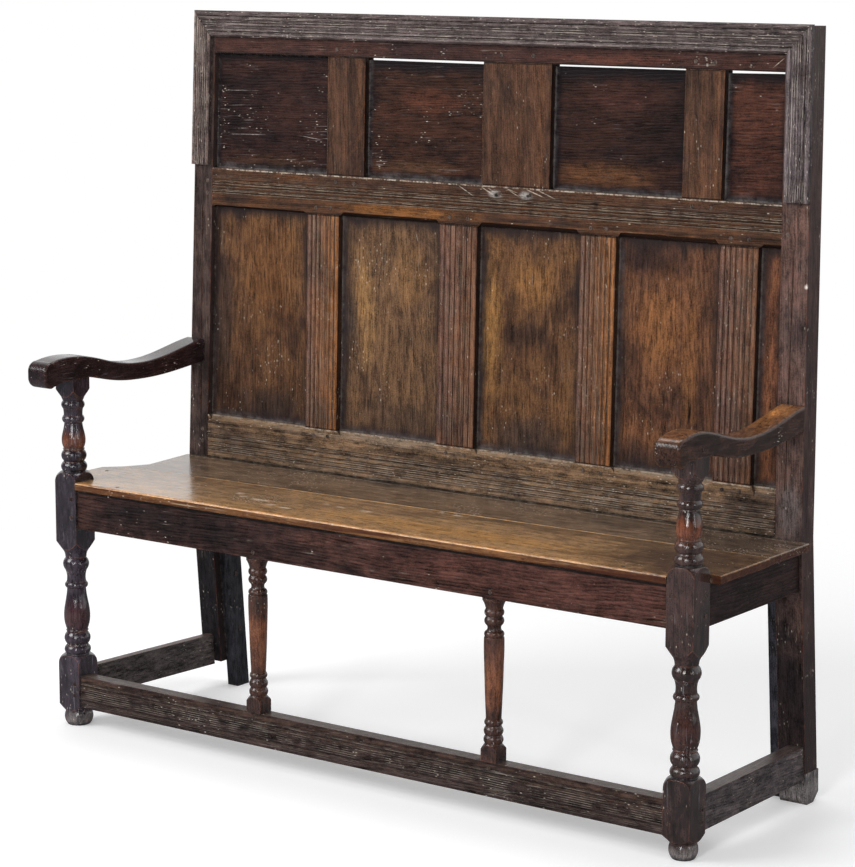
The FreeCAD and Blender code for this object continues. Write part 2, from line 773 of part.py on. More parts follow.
def front_tenons(setback, thickness, z0, z1, grow=0.0):
    """The two tenons of the front rail or the front stretcher as one thin bar."""
    cheek = (thickness - leg_tenon_thickness) / 2 - grow
    end = leg_inner + leg_tenon_length + grow
    return box(-end, end, setback + cheek, setback + thickness - cheek,
               z0 + leg_tenon_shoulder - grow, z1 - leg_tenon_shoulder + grow)


def rear_tenons(grow=0.0):
    """The rear seat rail's two tenons as one thin bar."""
    cheek = (rear_rail_thickness - leg_tenon_thickness) / 2 - grow
    length = rear_tenon_length + grow
    return box(stile_edges("left", seat_height)[1] - length,
               stile_edges("right", seat_height)[1] + length,
               rear_rail_front + cheek, rear_rail_front + rear_rail_thickness - cheek,
               rear_rail_bottom + leg_tenon_shoulder - grow, seat_underside - leg_tenon_shoulder + grow)


def bearer_tenons(x, grow=0.0):
    """A bearer's two tenons as one thin bar."""
    half = bearer_width / 2 - bearer_tenon_inset + grow
    length = bearer_tenon_length + grow
    return box(x - half, x + half, seat_rail_setback + seat_rail_thickness - length,
               rear_rail_front + length, seat_underside - bearer_height + bearer_tenon_inset - grow,
               seat_underside - bearer_tenon_inset + grow)


def seam_place(x):
    """Y of the slanting seam between the two planks."""
    share = (x + leg_outer) / leg_span
    return seam_left + (seam_right - seam_left) * share


def make_front_plank():
    """The front plank: notched round the legs, its rear left corner cut away."""
    end = leg_outer + seat_overhang
    notch_x = leg_inner - joint_gap
    notch_y = leg_size + joint_gap
    cut_x = -end + front_plank_cut
    outline = [(-notch_x, -seat_front_proud), (notch_x, -seat_front_proud), (notch_x, notch_y),
               (end, notch_y), (end, seam_place(end)), (cut_x, seam_place(cut_x)),
               (-end, front_plank_corner), (-end, notch_y), (-notch_x, notch_y)]
    plank = prism(outline, "z", seat_underside, seat_height)
    front = edges_where(plank, lambda b: b.ZLength < 1e-6 and b.YMax < 1 - seat_front_proud)
    plank = plank.makeFillet(seat_edge_radius, front)
    ends = edges_where(plank, lambda b: b.ZLength < 1e-6 and b.XLength < 1e-6 and abs(b.XMin) > end - 1)
    return cut_all(plank.makeFillet(seat_end_radius, ends), seat_pegs(peg_gap))


def make_rear_plank():
    """The rear plank: it butts on the stiles and tucks in under the back between them."""
    left = -leg_outer - seat_overhang
    right = stile_right_outer + rear_plank_right_overhang
    start_x = left + front_plank_cut
    stop = seat_depth - joint_gap
    inner = {side: stile_edges(side, seat_height)[1] - SIGN[side] * joint_gap for side in SIDES}
    outline = [(start_x, seam_place(start_x) + seam_gap), (right, seam_place(right) + seam_gap),
               (right, stop), (inner["right"], stop), (inner["right"], seat_depth + seat_tuck),
               (inner["left"], seat_depth + seat_tuck), (inner["left"], stop),
               (left + rear_plank_back_inset, stop),
               (left + rear_plank_left_inset, rear_plank_left_bend)]
    plank = prism(outline, "z", seat_underside, seat_height)
    ends = edges_where(plank, lambda b: b.ZLength < 1e-6 and b.XMin > right - 1)
    return plank.makeFillet(seat_end_radius, ends)


def build_seat(nodes):
    """Planks, rails and bearers of the seat."""
    bearers = [bearer_tenons(SIGN[side] * bearer_offset, joint_gap) for side in SIDES]
    for side in SIDES:
        x = SIGN[side] * bearer_offset
        body = box(x - bearer_width / 2, x + bearer_width / 2, seat_rail_setback + seat_rail_thickness,
                   rear_rail_front, seat_underside - bearer_height, seat_underside)
        nodes["seat_bearer_" + side] = joined([body, bearer_tenons(x)])
        nodes["seat_rail_" + side] = make_side_piece("seat_rail", side)
    front = box(-leg_inner, leg_inner, seat_rail_setback, seat_rail_setback + seat_rail_thickness,
                seat_rail_bottom, seat_underside)
    tenons = front_tenons(seat_rail_setback, seat_rail_thickness, seat_rail_bottom, seat_underside)
    nodes["seat_rail_front"] = cut_all(joined([front, tenons]), bearers + baluster_sockets()
                                       + front_leg_pegs(peg_gap) + baluster_pegs(peg_gap)
                                       + seat_pegs(peg_gap))
    rear = box(stile_edges("left", seat_height)[1], stile_edges("right", seat_height)[1],
               rear_rail_front, rear_rail_front + rear_rail_thickness, rear_rail_bottom, seat_underside)
    nodes["seat_rail_rear"] = cut_all(joined([rear, rear_tenons()]), bearers)
    nodes["seat_plank_front"] = make_front_plank()
    nodes["seat_plank_rear"] = make_rear_plank()


# Stiles, braces and the mended foot

def foot_pin(grow=0.0):
    """The pin on top of the foot tip, behind the side stretcher's tenon."""
    outer, inner = stile_edges("right", seat_height)
    return rod((outer + inner) / 2, stile_front(foot_seam_height) + foot_pin_setback,
               foot_seam_height - 2, "z", foot_pin_radius + grow, foot_pin_length + 2 + grow)


def make_foot_tip():
    """The new piece under the right stile: a worn toe, a cut heel and a pin up into the stile."""
    outer, inner = stile_edges("right", seat_height)
    front = stile_front(foot_seam_height)
    heel = front + stile_depth + foot_heel_proud
    outline = [(stile_front(0.0) + 3, 0.0), (heel - foot_heel_rise, 0.0), (heel + 2, foot_heel_rise),
               (heel, foot_seam_height), (front, foot_seam_height), (stile_front(6.0), 6.0)]
    tip = prism(outline, "x", inner, outer + foot_side_proud)
    return cut_all(joined([tip, foot_pin()]), side_mortises())


def make_stile(side, back_cutters):
    """A stile in one piece, leaned back above the seat and raked back below it."""
    low_outer, low_inner = stile_edges(side, seat_height)
    top_outer, top_inner = stile_edges(side, top_rail_end)
    outline = [(low_outer, seat_height), (low_inner, seat_height), (top_inner, top_rail_end),
               (top_outer, top_rail_end)]
    upper = prism(outline, "y", seat_depth, seat_depth + stile_depth)
    reed = reed_cut("z", seat_depth, low_inner + SIGN[side] * stile_reed_inset,
                    bottom_rail_end, middle_rail_start)
    upper = lean_back(cut_all(upper, back_cutters + [reed]))
    lower = rake_back(box(low_outer, low_inner, seat_depth, seat_depth + stile_depth, -FAR, seat_height))
    lower = lower.cut(slab(-2 * FAR, stile_foot[side]))
    cutters = side_mortises() + stile_pegs(peg_gap) + brace_pegs(peg_gap) + arm_pegs(peg_gap)
    cutters += [rear_tenons(joint_gap), arm_tenon(side, joint_gap)]
    if side == "right":
        cutters.append(foot_pin(joint_gap))
    return cut_all(joined([upper, lower]), cutters)


def make_brace(side):
    """A brace from the floor to the rear rail, pegged to the inner face of a stile."""
    face = stile_edges(side, seat_height)[1]
    brace = rake_back(box(face, face - SIGN[side] * brace_thickness, seat_depth + brace_setback,
                          seat_depth + brace_setback + brace_depth, -FAR, seat_height))
    brace = brace.common(slab(0, rear_rail_bottom))
    return cut_all(brace, brace_pegs(peg_gap))


# Front legs, balusters and front stretcher

def make_front_leg(side):
    """A front leg: a worn foot, two square blocks, two turned lengths and a block under the arm."""
    corner = leg_size / math.sqrt(2)
    arm_corner = arm_block_size / math.sqrt(2)
    block_1 = stretcher_top + leg_block_above_stretcher
    block_2 = seat_rail_bottom - leg_block_below_rail
    block_3 = seat_underside + leg_block_above_rail
    block_4 = arm_underside - arm_block_height
    round_foot = foot_radius[side]
    foot = [(0.8 * round_foot, 0.0), (round_foot, 9.0, 0.95 * round_foot, 26.0),
            (round_foot, 29.0), (corner, 41.0), (corner, 42.0)]
    lower = [(corner, 0.0), (33.0, 11.0, 25.5, 17.0), (21.2, 18.0), (25.3, 26.5, 20.8, 35.0),
             (20.2, 37.5), (25.0, 49.0, 20.4, 60.0), (19.6, 62.0), (21.4, 64.0, 19.8, 66.0),
             [(24.6, 84.0), (25.0, 98.0), (21.6, 121.0), (18.2, 144.0)], (18.0, 147.5),
             (22.0, 153.5, 18.6, 159.5), (17.8, 171.0, 20.6, 183.5), (24.8, 195.0, 20.8, 205.5),
             (19.2, 207.5), (20.2, 209.0), (21.6, 217.0, 25.4, 223.5), (corner, 240.0)]
    upper = [(corner, 0.0), (33.4, 14.0, 25.6, 21.5), (20.8, 22.5), (24.8, 32.0, 20.2, 40.5),
             (19.4, 42.5), (24.0, 53.0, 19.8, 62.5), (19.0, 63.5), (20.6, 65.3, 19.0, 67.0),
             [(22.4, 78.0), (22.0, 90.0), (18.4, 106.0), (17.3, 114.0)], (16.8, 115.5),
             (21.2, 123.0, 17.8, 130.0), (17.9, 137.0, 19.0, 143.5), (22.2, 151.0, 18.6, 158.0),
             (19.6, 159.5), (22.3, 166.0), (arm_corner, 180.0)]
    half = leg_size / 2
    arm_half = arm_block_size / 2
    pieces = [turned(foot, 0.0, leg_foot_height), turned(lower, block_1, block_2),
              turned(upper, block_3, block_4), rod(0, 0, leg_foot_height, "z", corner, block_1 - leg_foot_height),
              rod(0, 0, block_2, "z", corner, block_3 - block_2),
              rod(0, 0, block_4, "z", arm_corner, arm_block_height),
              rod(0, 0, arm_underside, "z", leg_pin_radius, leg_pin_length)]
    middle = (block_3 + block_4) / 2
    billet = joined([box(-half, half, -half, half, 0, middle),
                     box(-arm_half, arm_half, -arm_half, arm_half, middle, back_top)])
    leg = joined(pieces).common(billet)
    leg.translate(V(SIGN[side] * leg_centre, half, 0))
    cutters = side_mortises() + front_leg_pegs(peg_gap) + side_leg_pegs(peg_gap) + arm_pegs(peg_gap)
    cutters.append(front_tenons(seat_rail_setback, seat_rail_thickness, seat_rail_bottom,
                                seat_underside, joint_gap))
    cutters.append(front_tenons(stretcher_setback, stretcher_thickness, stretcher_bottom,
                                stretcher_top, joint_gap))
    return cut_all(leg, cutters)


def baluster_sockets():
    """Round holes in the front stretcher and the front rail for the balusters' pins."""
    length = baluster_pin_length + joint_gap + 1
    return [rod(baluster_place[side], baluster_y, start, "z", baluster_pin_radius + joint_gap, length)
            for side in SIDES for start in (stretcher_top + 1 - length, seat_rail_bottom - 1)]


def make_baluster(side):
    """A baluster: a square foot, a tapered column between rings, and a pin at each end."""
    corner = baluster_size / math.sqrt(2)
    half = baluster_size / 2
    block_top = stretcher_top + baluster_block_height
    column = [(15.8, 0.0), (15.0, 1.5), (17.4, 8.0, 15.0, 15.0), (14.2, 16.5),
              (17.2, 23.5, 14.6, 30.5), (13.4, 33.5), (16.2, 39.0, 13.8, 44.5), (13.7, 48.0),
              [(15.2, 82.0), (17.2, 143.0), (17.9, 173.0), (17.6, 189.0)], (15.8, 191.0),
              (17.4, 196.0, 13.4, 201.0), (11.8, 206.0, 13.6, 211.0), (17.2, 218.0, 14.6, 225.0),
              (13.8, 226.5), (17.2, 233.0, 14.6, 239.5), (15.2, 241.0),
              [(17.2, 248.0), (20.8, 255.0)], (20.8, 259.0)]
    foot = turned([(corner, 0.0), (corner, 22.0), (15.8, 30.0)], stretcher_top, block_top)
    pins = [rod(0, 0, stretcher_top - baluster_pin_length, "z", baluster_pin_radius, baluster_pin_length),
            rod(0, 0, seat_rail_bottom, "z", baluster_pin_radius, baluster_pin_length)]
    square = box(-half, half, -half, half, stretcher_top, block_top)
    post = joined([foot.common(square), turned(column, block_top, seat_rail_bottom)] + pins)
    post.translate(V(baluster_place[side], baluster_y, 0))
    return cut_all(post, baluster_pegs(peg_gap))


def make_front_stretcher():
    """The front stretcher, with scratched lines on its face."""
    body = box(-leg_inner, leg_inner, stretcher_setback, stretcher_setback + stretcher_thickness,
               stretcher_bottom, stretcher_top)
    tenons = front_tenons(stretcher_setback, stretcher_thickness, stretcher_bottom, stretcher_top)
    lines = [reed_cut("x", stretcher_setback, stretcher_bottom + rise, -leg_inner, leg_inner)
             for rise in stretcher_reeds]
    return cut_all(joined([body, tenons]), lines + baluster_sockets() + front_leg_pegs(peg_gap)
                   + baluster_pegs(peg_gap))


def build():
    """Every piece of the bench by its node's name."""
    nodes = {}
    back_cutters = build_back(nodes)
    build_seat(nodes)
    for side in SIDES:
        nodes["stile_" + side] = make_stile(side, back_cutters)
        nodes["rear_brace_" + side] = make_brace(side)
        nodes["stretcher_" + side] = make_side_piece("stretcher", side)
        nodes["front_leg_" + side] = make_front_leg(side)
        nodes["arm_" + side] = make_arm(side)
        nodes["baluster_" + side] = make_baluster(side)
    nodes["rear_foot_tip"] = make_foot_tip()
    nodes["stretcher_front"] = make_front_stretcher()
    nodes["pegs_front_legs"] = Part.makeCompound(front_leg_pegs() + side_leg_pegs())
    nodes["pegs_stiles"] = Part.makeCompound(stile_pegs())
    nodes["pegs_arms"] = Part.makeCompound(arm_pegs())
    nodes["pegs_balusters"] = Part.makeCompound(baluster_pegs())
    nodes["pegs_braces"] = Part.makeCompound(brace_pegs())
    nodes["pegs_seat"] = Part.makeCompound(seat_pegs())
    return nodes


def save_all(nodes):
    """Move every piece to the shared origin and write it out."""
    bounds = FreeCAD.BoundBox()
    for piece in nodes.values():
        bounds.add(piece.optimalBoundingBox(False, False))
    to_origin = V(-bounds.Center.x, -bounds.Center.y, -bounds.ZMin)
    os.makedirs("parts", exist_ok=True)
    for name, piece in nodes.items():
        placed = piece.copy()
        placed.translate(to_origin)
        placed.exportStep("parts/" + name + ".step")
        volume = sum(solid.Volume for solid in placed.Solids)
        print(name, len(placed.Solids), "solid(s)", round(volume), "valid", placed.isValid())
    print("size", round(bounds.XLength, 2), round(bounds.YLength, 2), round(bounds.ZLength, 2),
          "moved", [round(value, 3) for value in to_origin])


save_all(build())
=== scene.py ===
"""The looks of an old oak settle bench: waxed, worn and dusty wood on every piece of the frame."""

import logging
import math
from dataclasses import dataclass, replace
from enum import Enum
from typing import Union

import bpy
import numpy as np
from mathutils import Matrix, Vector

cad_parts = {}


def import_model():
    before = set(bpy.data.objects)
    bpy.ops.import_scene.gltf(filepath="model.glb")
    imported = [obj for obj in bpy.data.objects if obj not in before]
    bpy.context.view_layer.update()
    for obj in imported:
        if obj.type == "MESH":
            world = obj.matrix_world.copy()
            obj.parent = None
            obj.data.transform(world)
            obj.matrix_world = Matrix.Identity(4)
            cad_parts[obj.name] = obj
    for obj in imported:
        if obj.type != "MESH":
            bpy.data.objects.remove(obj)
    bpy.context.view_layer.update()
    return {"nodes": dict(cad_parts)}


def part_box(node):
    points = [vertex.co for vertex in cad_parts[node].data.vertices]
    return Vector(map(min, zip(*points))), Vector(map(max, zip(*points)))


log = logging.getLogger("settle_bench")

Tone = tuple[int, int, int]  # red, green and blue as a screen shows them, 0 to 255
Linear = tuple[float, float, float, float]
Triple = tuple[float, float, float]
Pair = tuple[float, float]
Stops = tuple[tuple[float, tuple], ...]  # places from nought to one, each with a screen colour
Socket = bpy.types.NodeSocket
Number = Union[Socket, float]

SEAM_AND_SHADOW_BLACK: Linear = (0.006, 0.005, 0.005, 1.0)
HOLE_BLACK: Linear = (0.004, 0.003, 0.003, 1.0)
WHITE: Linear = (1.0, 1.0, 1.0, 1.0)
HAZE: Tone = (96, 90, 91)
CRUST: Tone = (186, 172, 156)
CHIP: Tone = (204, 192, 176)


class Grain(Enum):
    """The axis that a piece's fibres run along, as the turn that makes it the third one."""

    ALONG = (0.0, math.pi / 2, 0.0)
    DEEP = (math.pi / 2, 0.0, 0.0)
    UPRIGHT = (0.0, 0.0, 0.0)


def from_screen(tone: tuple) -> Linear:
    """Turn a colour as a screen shows it into the linear one that a material takes.

    Args:
        tone: Red, green and blue from 0 to 255.

    Returns:
        Linear red, green, blue and an alpha of one.
    """
    values = np.array(tone) / 255
    linear = np.where(values <= 0.04045, values / 12.92, ((values + 0.055) / 1.055) ** 2.4)
    return (*(float(v) for v in linear), 1.0)


class Tree:
    """A short way to write shader nodes, for a material or for a node group."""

    def __init__(self, nodes: bpy.types.NodeTree) -> None:
        """Keep the node tree that nodes are added to."""
        self.tree = nodes

    def put(self, socket: Socket, value: "Number | tuple") -> None:
        """Link a socket to another one, or set its own value.

        Args:
            socket: The input to fill.
            value: Another node's output, a number, or a colour or place.
        """
        if isinstance(value, bpy.types.NodeSocket):
            self.tree.links.new(value, socket)
        else:
            socket.default_value = value

    def node(self, kind: str, inputs: dict | None = None, **settings: object) -> bpy.types.Node:
        """Add a node.

        Args:
            kind: The node's type after "ShaderNode".
            inputs: Socket names or numbers, and what goes into each.
            **settings: The node's own properties.

        Returns:
            The new node.
        """
        made = self.tree.nodes.new("ShaderNode" + kind)
        for name, value in settings.items():
            setattr(made, name, value)
        return self.fill(made, inputs or {})

    def fill(self, made: bpy.types.Node, inputs: dict) -> bpy.types.Node:
        """Set or link inputs of a node.

        Args:
            made: The node.
            inputs: Socket names or numbers, and what goes into each.

        Returns:
            The same node.
        """
        for key, value in inputs.items():
            self.put(made.inputs[key], value)
        return made

    def use(self, group: bpy.types.NodeTree, inputs: dict) -> bpy.types.NodeOutputs:
        """Place a node group and set or link its inputs by name."""
        return self.node("Group", inputs, node_tree=group).outputs

    def math(self, operation: str, first: Number, second: Number = 0.0) -> Socket:
        """One arithmetic step on two numbers."""
        return self.node("Math", {0: first, 1: second}, operation=operation).outputs[0]

    def add(self, first: Number, second: Number) -> Socket:
        """The sum of two numbers."""
        return self.math("ADD", first, second)

    def less(self, first: Number, second: Number) -> Socket:
        """The first number less the second."""
        return self.math("SUBTRACT", first, second)

    def times(self, first: Number, second: Number) -> Socket:
        """The product of two numbers."""
        return self.math("MULTIPLY", first, second)

    def swing(self, value: Number, size: Number, middle: float = 0.5) -> Socket:
        """How far a value lies from its middle, times a size."""
        return self.times(self.less(value, middle), size)

    def vector(self, operation: str, first: Socket, second: "Socket | Triple") -> bpy.types.Node:
        """One step on two places or directions."""
        return self.node("VectorMath", {0: first, 1: second}, operation=operation)

    def length(self, place: Socket) -> Socket:
        """How far a place is from the origin."""
        return self.node("VectorMath", {0: place}, operation="LENGTH").outputs["Value"]

    def band(self, value: Socket, low: Number, high: Number, start: float = 0.0, end: float = 1.0) -> Socket:
        """A smooth step: start at or below low, end at or above high."""
        ends = {"Value": value, "From Min": low, "From Max": high, "To Min": start, "To Max": end}
        return self.node("MapRange", ends, interpolation_type="SMOOTHSTEP").outputs[0]

    def mix(self, amount: Number, first: "Socket | Linear", second: "Socket | Linear",
            blend: str = "MIX") -> Socket:
        """Mix two colours."""
        ends = {0: amount, 6: first, 7: second}
        return self.node("Mix", ends, data_type="RGBA", blend_type=blend).outputs[2]

    def cover(self, under: "Socket | Linear", mask: Socket, strength: Number, tone: Tone) -> Socket:
        """Lay a screen colour over another colour where a mask is high."""
        return self.mix(self.times(mask, strength), under, from_screen(tone))

    def noise(self, place: Socket, scale: float, detail: float, roughness: float,
            distortion: float = 0.0) -> Socket:
        """A noise value about 0.5."""
        return self.node("TexNoise", {"Vector": place, "Scale": scale, "Detail": detail,
            "Roughness": roughness, "Distortion": distortion}).outputs[0]

    def moved(self, place: Socket, turn: Triple = (0, 0, 0), scale: Triple = (1, 1, 1)) -> Socket:
        """A place scaled and turned by a Mapping node."""
        return self.node("Mapping", {"Vector": place, "Rotation": turn, "Scale": scale}).outputs[0]

    def drawn(self, place: Socket, share: float) -> Socket:
        """A place whose third axis counts only for a share, so that what is made of it is drawn out."""
        return self.moved(place, scale=(1.0, 1.0, share))

    def parts(self, place: Socket) -> list[Socket]:
        """The three numbers of a place."""
        return list(self.node("SeparateXYZ", {0: place}).outputs)

    def shifted(self, place: Socket, *shift: Number) -> Socket:
        """A place with a number added to each of its three."""
        return self.vector("ADD", place, self.node("CombineXYZ",
            dict(enumerate(shift))).outputs[0]).outputs[0]

    def ramp(self, value: Socket, stops: Stops) -> Socket:
        """Colours along a number from 0 to 1.

        Args:
            value: The number.
            stops: Where each screen colour is reached.

        Returns:
            The colour at the number.
        """
        made = self.node("ValToRGB", {0: value})
        made.color_ramp.interpolation = "EASE"
        ready = list(made.color_ramp.elements)
        for number, (position, tone) in enumerate(stops):
            if number < len(ready):
                stop = made.color_ramp.elements[number]
                stop.position = position
            else:
                stop = made.color_ramp.elements.new(position)
            stop.color = from_screen(tone)
        return made.outputs[0]


class Effect:
    """A shader node group with named inputs and outputs."""

    def __init__(self, name: str, vectors: tuple[str, ...], numbers: dict[str, float]) -> None:
        """Make the group and its inputs.

        Args:
            name: The group's name.
            vectors: Names of the inputs that are places or directions.
            numbers: The other inputs, each with its value where none is given.
        """
        self.group = bpy.data.node_groups.new(name, "ShaderNodeTree")
        for title in vectors:
            self.group.interface.new_socket(title, in_out="INPUT", socket_type="NodeSocketVector")
        for title, value in numbers.items():
            socket = self.group.interface.new_socket(title, in_out="INPUT", socket_type="NodeSocketFloat")
            socket.default_value = value
        self.tree = Tree(self.group)
        self.given = self.group.nodes.new("NodeGroupInput").outputs

    def give(self, **values: Socket) -> bpy.types.NodeTree:
        """Make an output for each value and link it.

        Args:
            **values: The outputs by name.

        Returns:
            The finished group.
        """
        for title, value in values.items():
            kind = "NodeSocketVector" if value.type == "VECTOR" else "NodeSocketFloat"
            self.group.interface.new_socket(title, in_out="OUTPUT", socket_type=kind)
        self.tree.fill(self.group.nodes.new("NodeGroupOutput"), values)
        return self.group


def build_fibres() -> bpy.types.NodeTree:
    """The wood's own figure, for a place whose third axis runs with the fibres.

    Year rings are the distance from the pith's line, a few percent uneven, over their spacing,
    taken through a sawtooth that is steep on one side. The other outputs are noises drawn out
    along the fibres, and pores are the highest parts of a fine one.

    Returns:
        The finished group.
    """
    effect = Effect("oak_fibres", ("Place",),
        {"Pith X": 0.0, "Pith Y": 0.06, "Spacing": 0.004, "Unevenness": 0.006, "Seed": 0.0})
    t, given = effect.tree, effect.given
    seed = given["Seed"]
    place = t.shifted(given["Place"], seed, t.times(seed, 0.37), t.times(seed, 1.7))
    x, y, _ = t.parts(given["Place"])
    side, deep = t.less(x, given["Pith X"]), t.less(y, given["Pith Y"])
    bent = t.math("SQRT", t.add(t.times(side, side), t.times(deep, deep)))
    slow = t.noise(t.drawn(place, 0.28), 9.0, 3.0, 0.5)
    bent = t.add(bent, t.swing(slow, given["Unevenness"]))
    small = t.noise(t.drawn(place, 0.1), 70.0, 2.0, 0.5)
    bent = t.add(bent, t.swing(small, 0.0022))
    middling = t.noise(t.drawn(place, 0.2), 26.0, 3.0, 0.6)
    bent = t.add(bent, t.swing(middling, t.times(given["Unevenness"], 0.4)))
    turns = t.math("FRACT", t.math("DIVIDE", bent, given["Spacing"]))
    pore = t.noise(t.drawn(place, 0.10), 430.0, 2.0, 0.6)
    return effect.give(Rings=t.less(t.band(turns, 0.0, 0.72), t.band(turns, 0.80, 1.0)),
        Streaks=t.noise(t.drawn(place, 0.045), 98.0, 4.0, 0.66, 0.3),
        Fibres=t.noise(t.drawn(place, 0.06), 330.0, 5.0, 0.75), Pores=t.band(pore, 0.57, 0.68),
        Clouds=t.noise(t.drawn(place, 0.5), 12.0, 6.0, 0.68, 0.8),
        Mottle=t.noise(t.drawn(place, 0.45), 62.0, 5.0, 0.74, 0.4))


def build_wear() -> bpy.types.NodeTree:
    """Where a piece is rubbed, and its hollows and nooks, which take painted shade, grime and dust.

    Edge is how far the surface's direction differs from the same rounded off by a few
    millimetres, and Arris is that away from hollows. Hollow and Nook are how much a short look
    round is blocked. Soft is the rounded direction itself.

    Returns:
        The finished group.
    """
    effect = Effect("wear_and_hollows", ("Place",), {"Round": 0.002, "Reach": 0.012})
    t, given = effect.tree, effect.given
    soft = t.node("Bevel", {"Radius": given["Round"]}, samples=2).outputs[0]
    alike = t.vector("DOT_PRODUCT", soft, t.node("NewGeometry").outputs["Normal"]).outputs["Value"]
    edge = t.band(t.less(1.0, alike), 0.004, 0.09)
    hollow = t.less(1.0, t.node("AmbientOcclusion", {"Distance": given["Reach"]}, samples=3).outputs["AO"])
    rub = t.noise(given["Place"], 55.0, 3.0, 0.6)
    arris = t.times(edge, t.less(1.0, t.band(hollow, 0.12, 0.38)))
    return effect.give(Arris=t.times(arris, t.band(rub, 0.36, 0.60, 0.12, 1.0)), Edge=edge,
        Hollow=t.band(hollow, 0.12, 0.62), Nook=t.band(hollow, 0.42, 0.8), Soft=soft)


def build_specks() -> bpy.types.NodeTree:
    """Small pale chips, worm holes and pale hairs, drawn out with the fibres.

    Chips and holes are the inner part of a cell of scattered points, kept only where a slower
    noise is high.

    Returns:
        The finished group.
    """
    effect = Effect("specks_and_holes", ("Place",), {"Amount": 0.5, "Seed": 0.0})
    t, given = effect.tree, effect.given
    place = t.shifted(given["Place"], given["Seed"], given["Seed"], given["Seed"])
    where = t.noise(place, 14.0, 4.0, 0.75)
    dense = t.band(t.add(where, t.times(given["Amount"], 0.35)), 0.60, 0.88)
    cells = t.node("TexVoronoi", {"Vector": t.drawn(place, 0.34), "Scale": 340.0}).outputs
    near = t.less(1.0, t.band(cells["Distance"], 0.12, 0.36))
    kept = t.band(t.add(t.parts(cells["Color"])[0], t.times(dense, 0.5)), 1.10, 1.34)
    holes = t.node("TexVoronoi", {"Vector": place, "Scale": 120.0}).outputs
    bored = t.less(1.0, t.band(holes["Distance"], 0.07, 0.13))
    picked = t.band(t.add(t.parts(holes["Color"])[1], t.times(dense, 0.30)), 1.06, 1.12)
    hair = t.noise(t.drawn(place, 0.03), 260.0, 2.0, 0.6)
    return effect.give(Chips=t.times(near, kept), Holes=t.times(bored, picked),
        Hairs=t.times(t.band(hair, 0.62, 0.72), dense))


def build_lines() -> bpy.types.NodeTree:
    """Fine scratched reeding between two levels of one coordinate.

    The level wanders a little along the length, and each line is a narrow crest of a cosine.

    Returns:
        The finished group.
    """
    effect = Effect("scratched_lines", ("Place",), {"Level": 0.0, "Start": 0.0, "End": 1.0, "Pitch": 0.004})
    t, given = effect.tree, effect.given
    soft_end = 0.0012
    level = t.add(given["Level"], t.swing(t.noise(given["Place"], 14.0, 2.0, 0.5), 0.0016))
    turn = t.math("DIVIDE", t.less(level, given["Start"]), given["Pitch"])
    line = t.band(t.math("COSINE", t.times(turn, 2 * math.pi)), 0.58, 0.96)
    start, end = ((t.less(given[name], soft_end), t.add(given[name], soft_end)) for name in ("Start", "End"))
    grooves = t.times(line, t.times(t.band(level, *start), t.band(level, *end, 1.0, 0.0)))
    patchy = t.noise(given["Place"], 34.0, 4.0, 0.7)
    return effect.give(Grooves=grooves, Dust=t.times(grooves, t.band(patchy, 0.40, 0.60)))


def build_spot() -> bpy.types.NodeTree:
    """A soft uneven spot: one in its middle, falling to nothing at a distance of one.

    The place is already shifted, turned and scaled so that the spot's own edge lies at one.

    Returns:
        The finished group.
    """
    effect = Effect("soft_spot", ("Place", "Ragged"), {})
    t, given = effect.tree, effect.given
    far = t.add(t.length(given["Place"]), t.swing(t.noise(given["Ragged"], 26.0, 4.0, 0.65), 1.1))
    return effect.give(Inside=t.band(far, 0.25, 1.05, 1.0, 0.0))


def build_border() -> bpy.types.NodeTree:
    """How near a place is to the rim of an upright rectangle, such as a panel's opening.

    Rim is the nearest of the four distances, made uneven. Line and Haze look only at the left
    and the low side, where dust lies.

    Returns:
        The finished group.
    """
    effect = Effect("rim_of_an_opening", ("Place",),
        {"Left": 0.0, "Right": 1.0, "Low": 0.0, "High": 1.0, "Width": 0.04})
    t, given = effect.tree, effect.given
    x, _, z = t.parts(given["Place"])
    rough = t.noise(t.drawn(given["Place"], 0.6), 17.0, 4.0, 0.6)
    left, right = t.less(x, given["Left"]), t.less(given["Right"], x)
    low, high = t.less(z, given["Low"]), t.less(given["High"], z)
    near = t.math("MINIMUM", t.math("MINIMUM", left, right), t.math("MINIMUM", low, high))
    uneven = t.add(near, t.swing(rough, t.times(given["Width"], -1.5)))
    line = t.math("MINIMUM", left, low)
    fine = t.add(line, t.swing(rough, 0.016))
    return effect.give(Rim=t.band(uneven, 0.0, given["Width"], 1.0, 0.0),
        Line=t.band(line, 0.0012, 0.0046, 1.0, 0.0), Haze=t.band(fine, 0.003, 0.014, 1.0, 0.0))


def build_faces() -> bpy.types.NodeTree:
    """Which way a surface looks.

    Aside is one where it is turned away from the given front or looks down, and Ledge is one
    where it looks up. Both are smooth steps of the direction's own parts.

    Returns:
        The finished group.
    """
    effect = Effect("way_of_a_face", ("Front",), {})
    t = effect.tree
    normal = t.node("TexCoord").outputs["Normal"]
    ahead = t.vector("DOT_PRODUCT", normal, effect.given["Front"]).outputs["Value"]
    up = t.parts(normal)[2]
    aside = t.math("MAXIMUM", t.band(ahead, 0.25, 0.60, 1.0, 0.0), t.band(up, -0.35, -0.62))
    return effect.give(Aside=aside, Ledge=t.band(up, 0.5, 0.85))


def build_seam() -> bpy.types.NodeTree:
    """A thin line at one level, for joints between boards, painted shadow lines and crusts: the distance from
    its level through a smooth step.

    Returns:
        The finished group.
    """
    effect = Effect("seam_and_shadow_line", (), {"Level": 0.0, "At": 0.0})
    t, given = effect.tree, effect.given
    far = t.math("ABSOLUTE", t.less(given["Level"], given["At"]))
    return effect.give(Line=t.band(far, 0.0006, 0.0019, 1.0, 0.0))


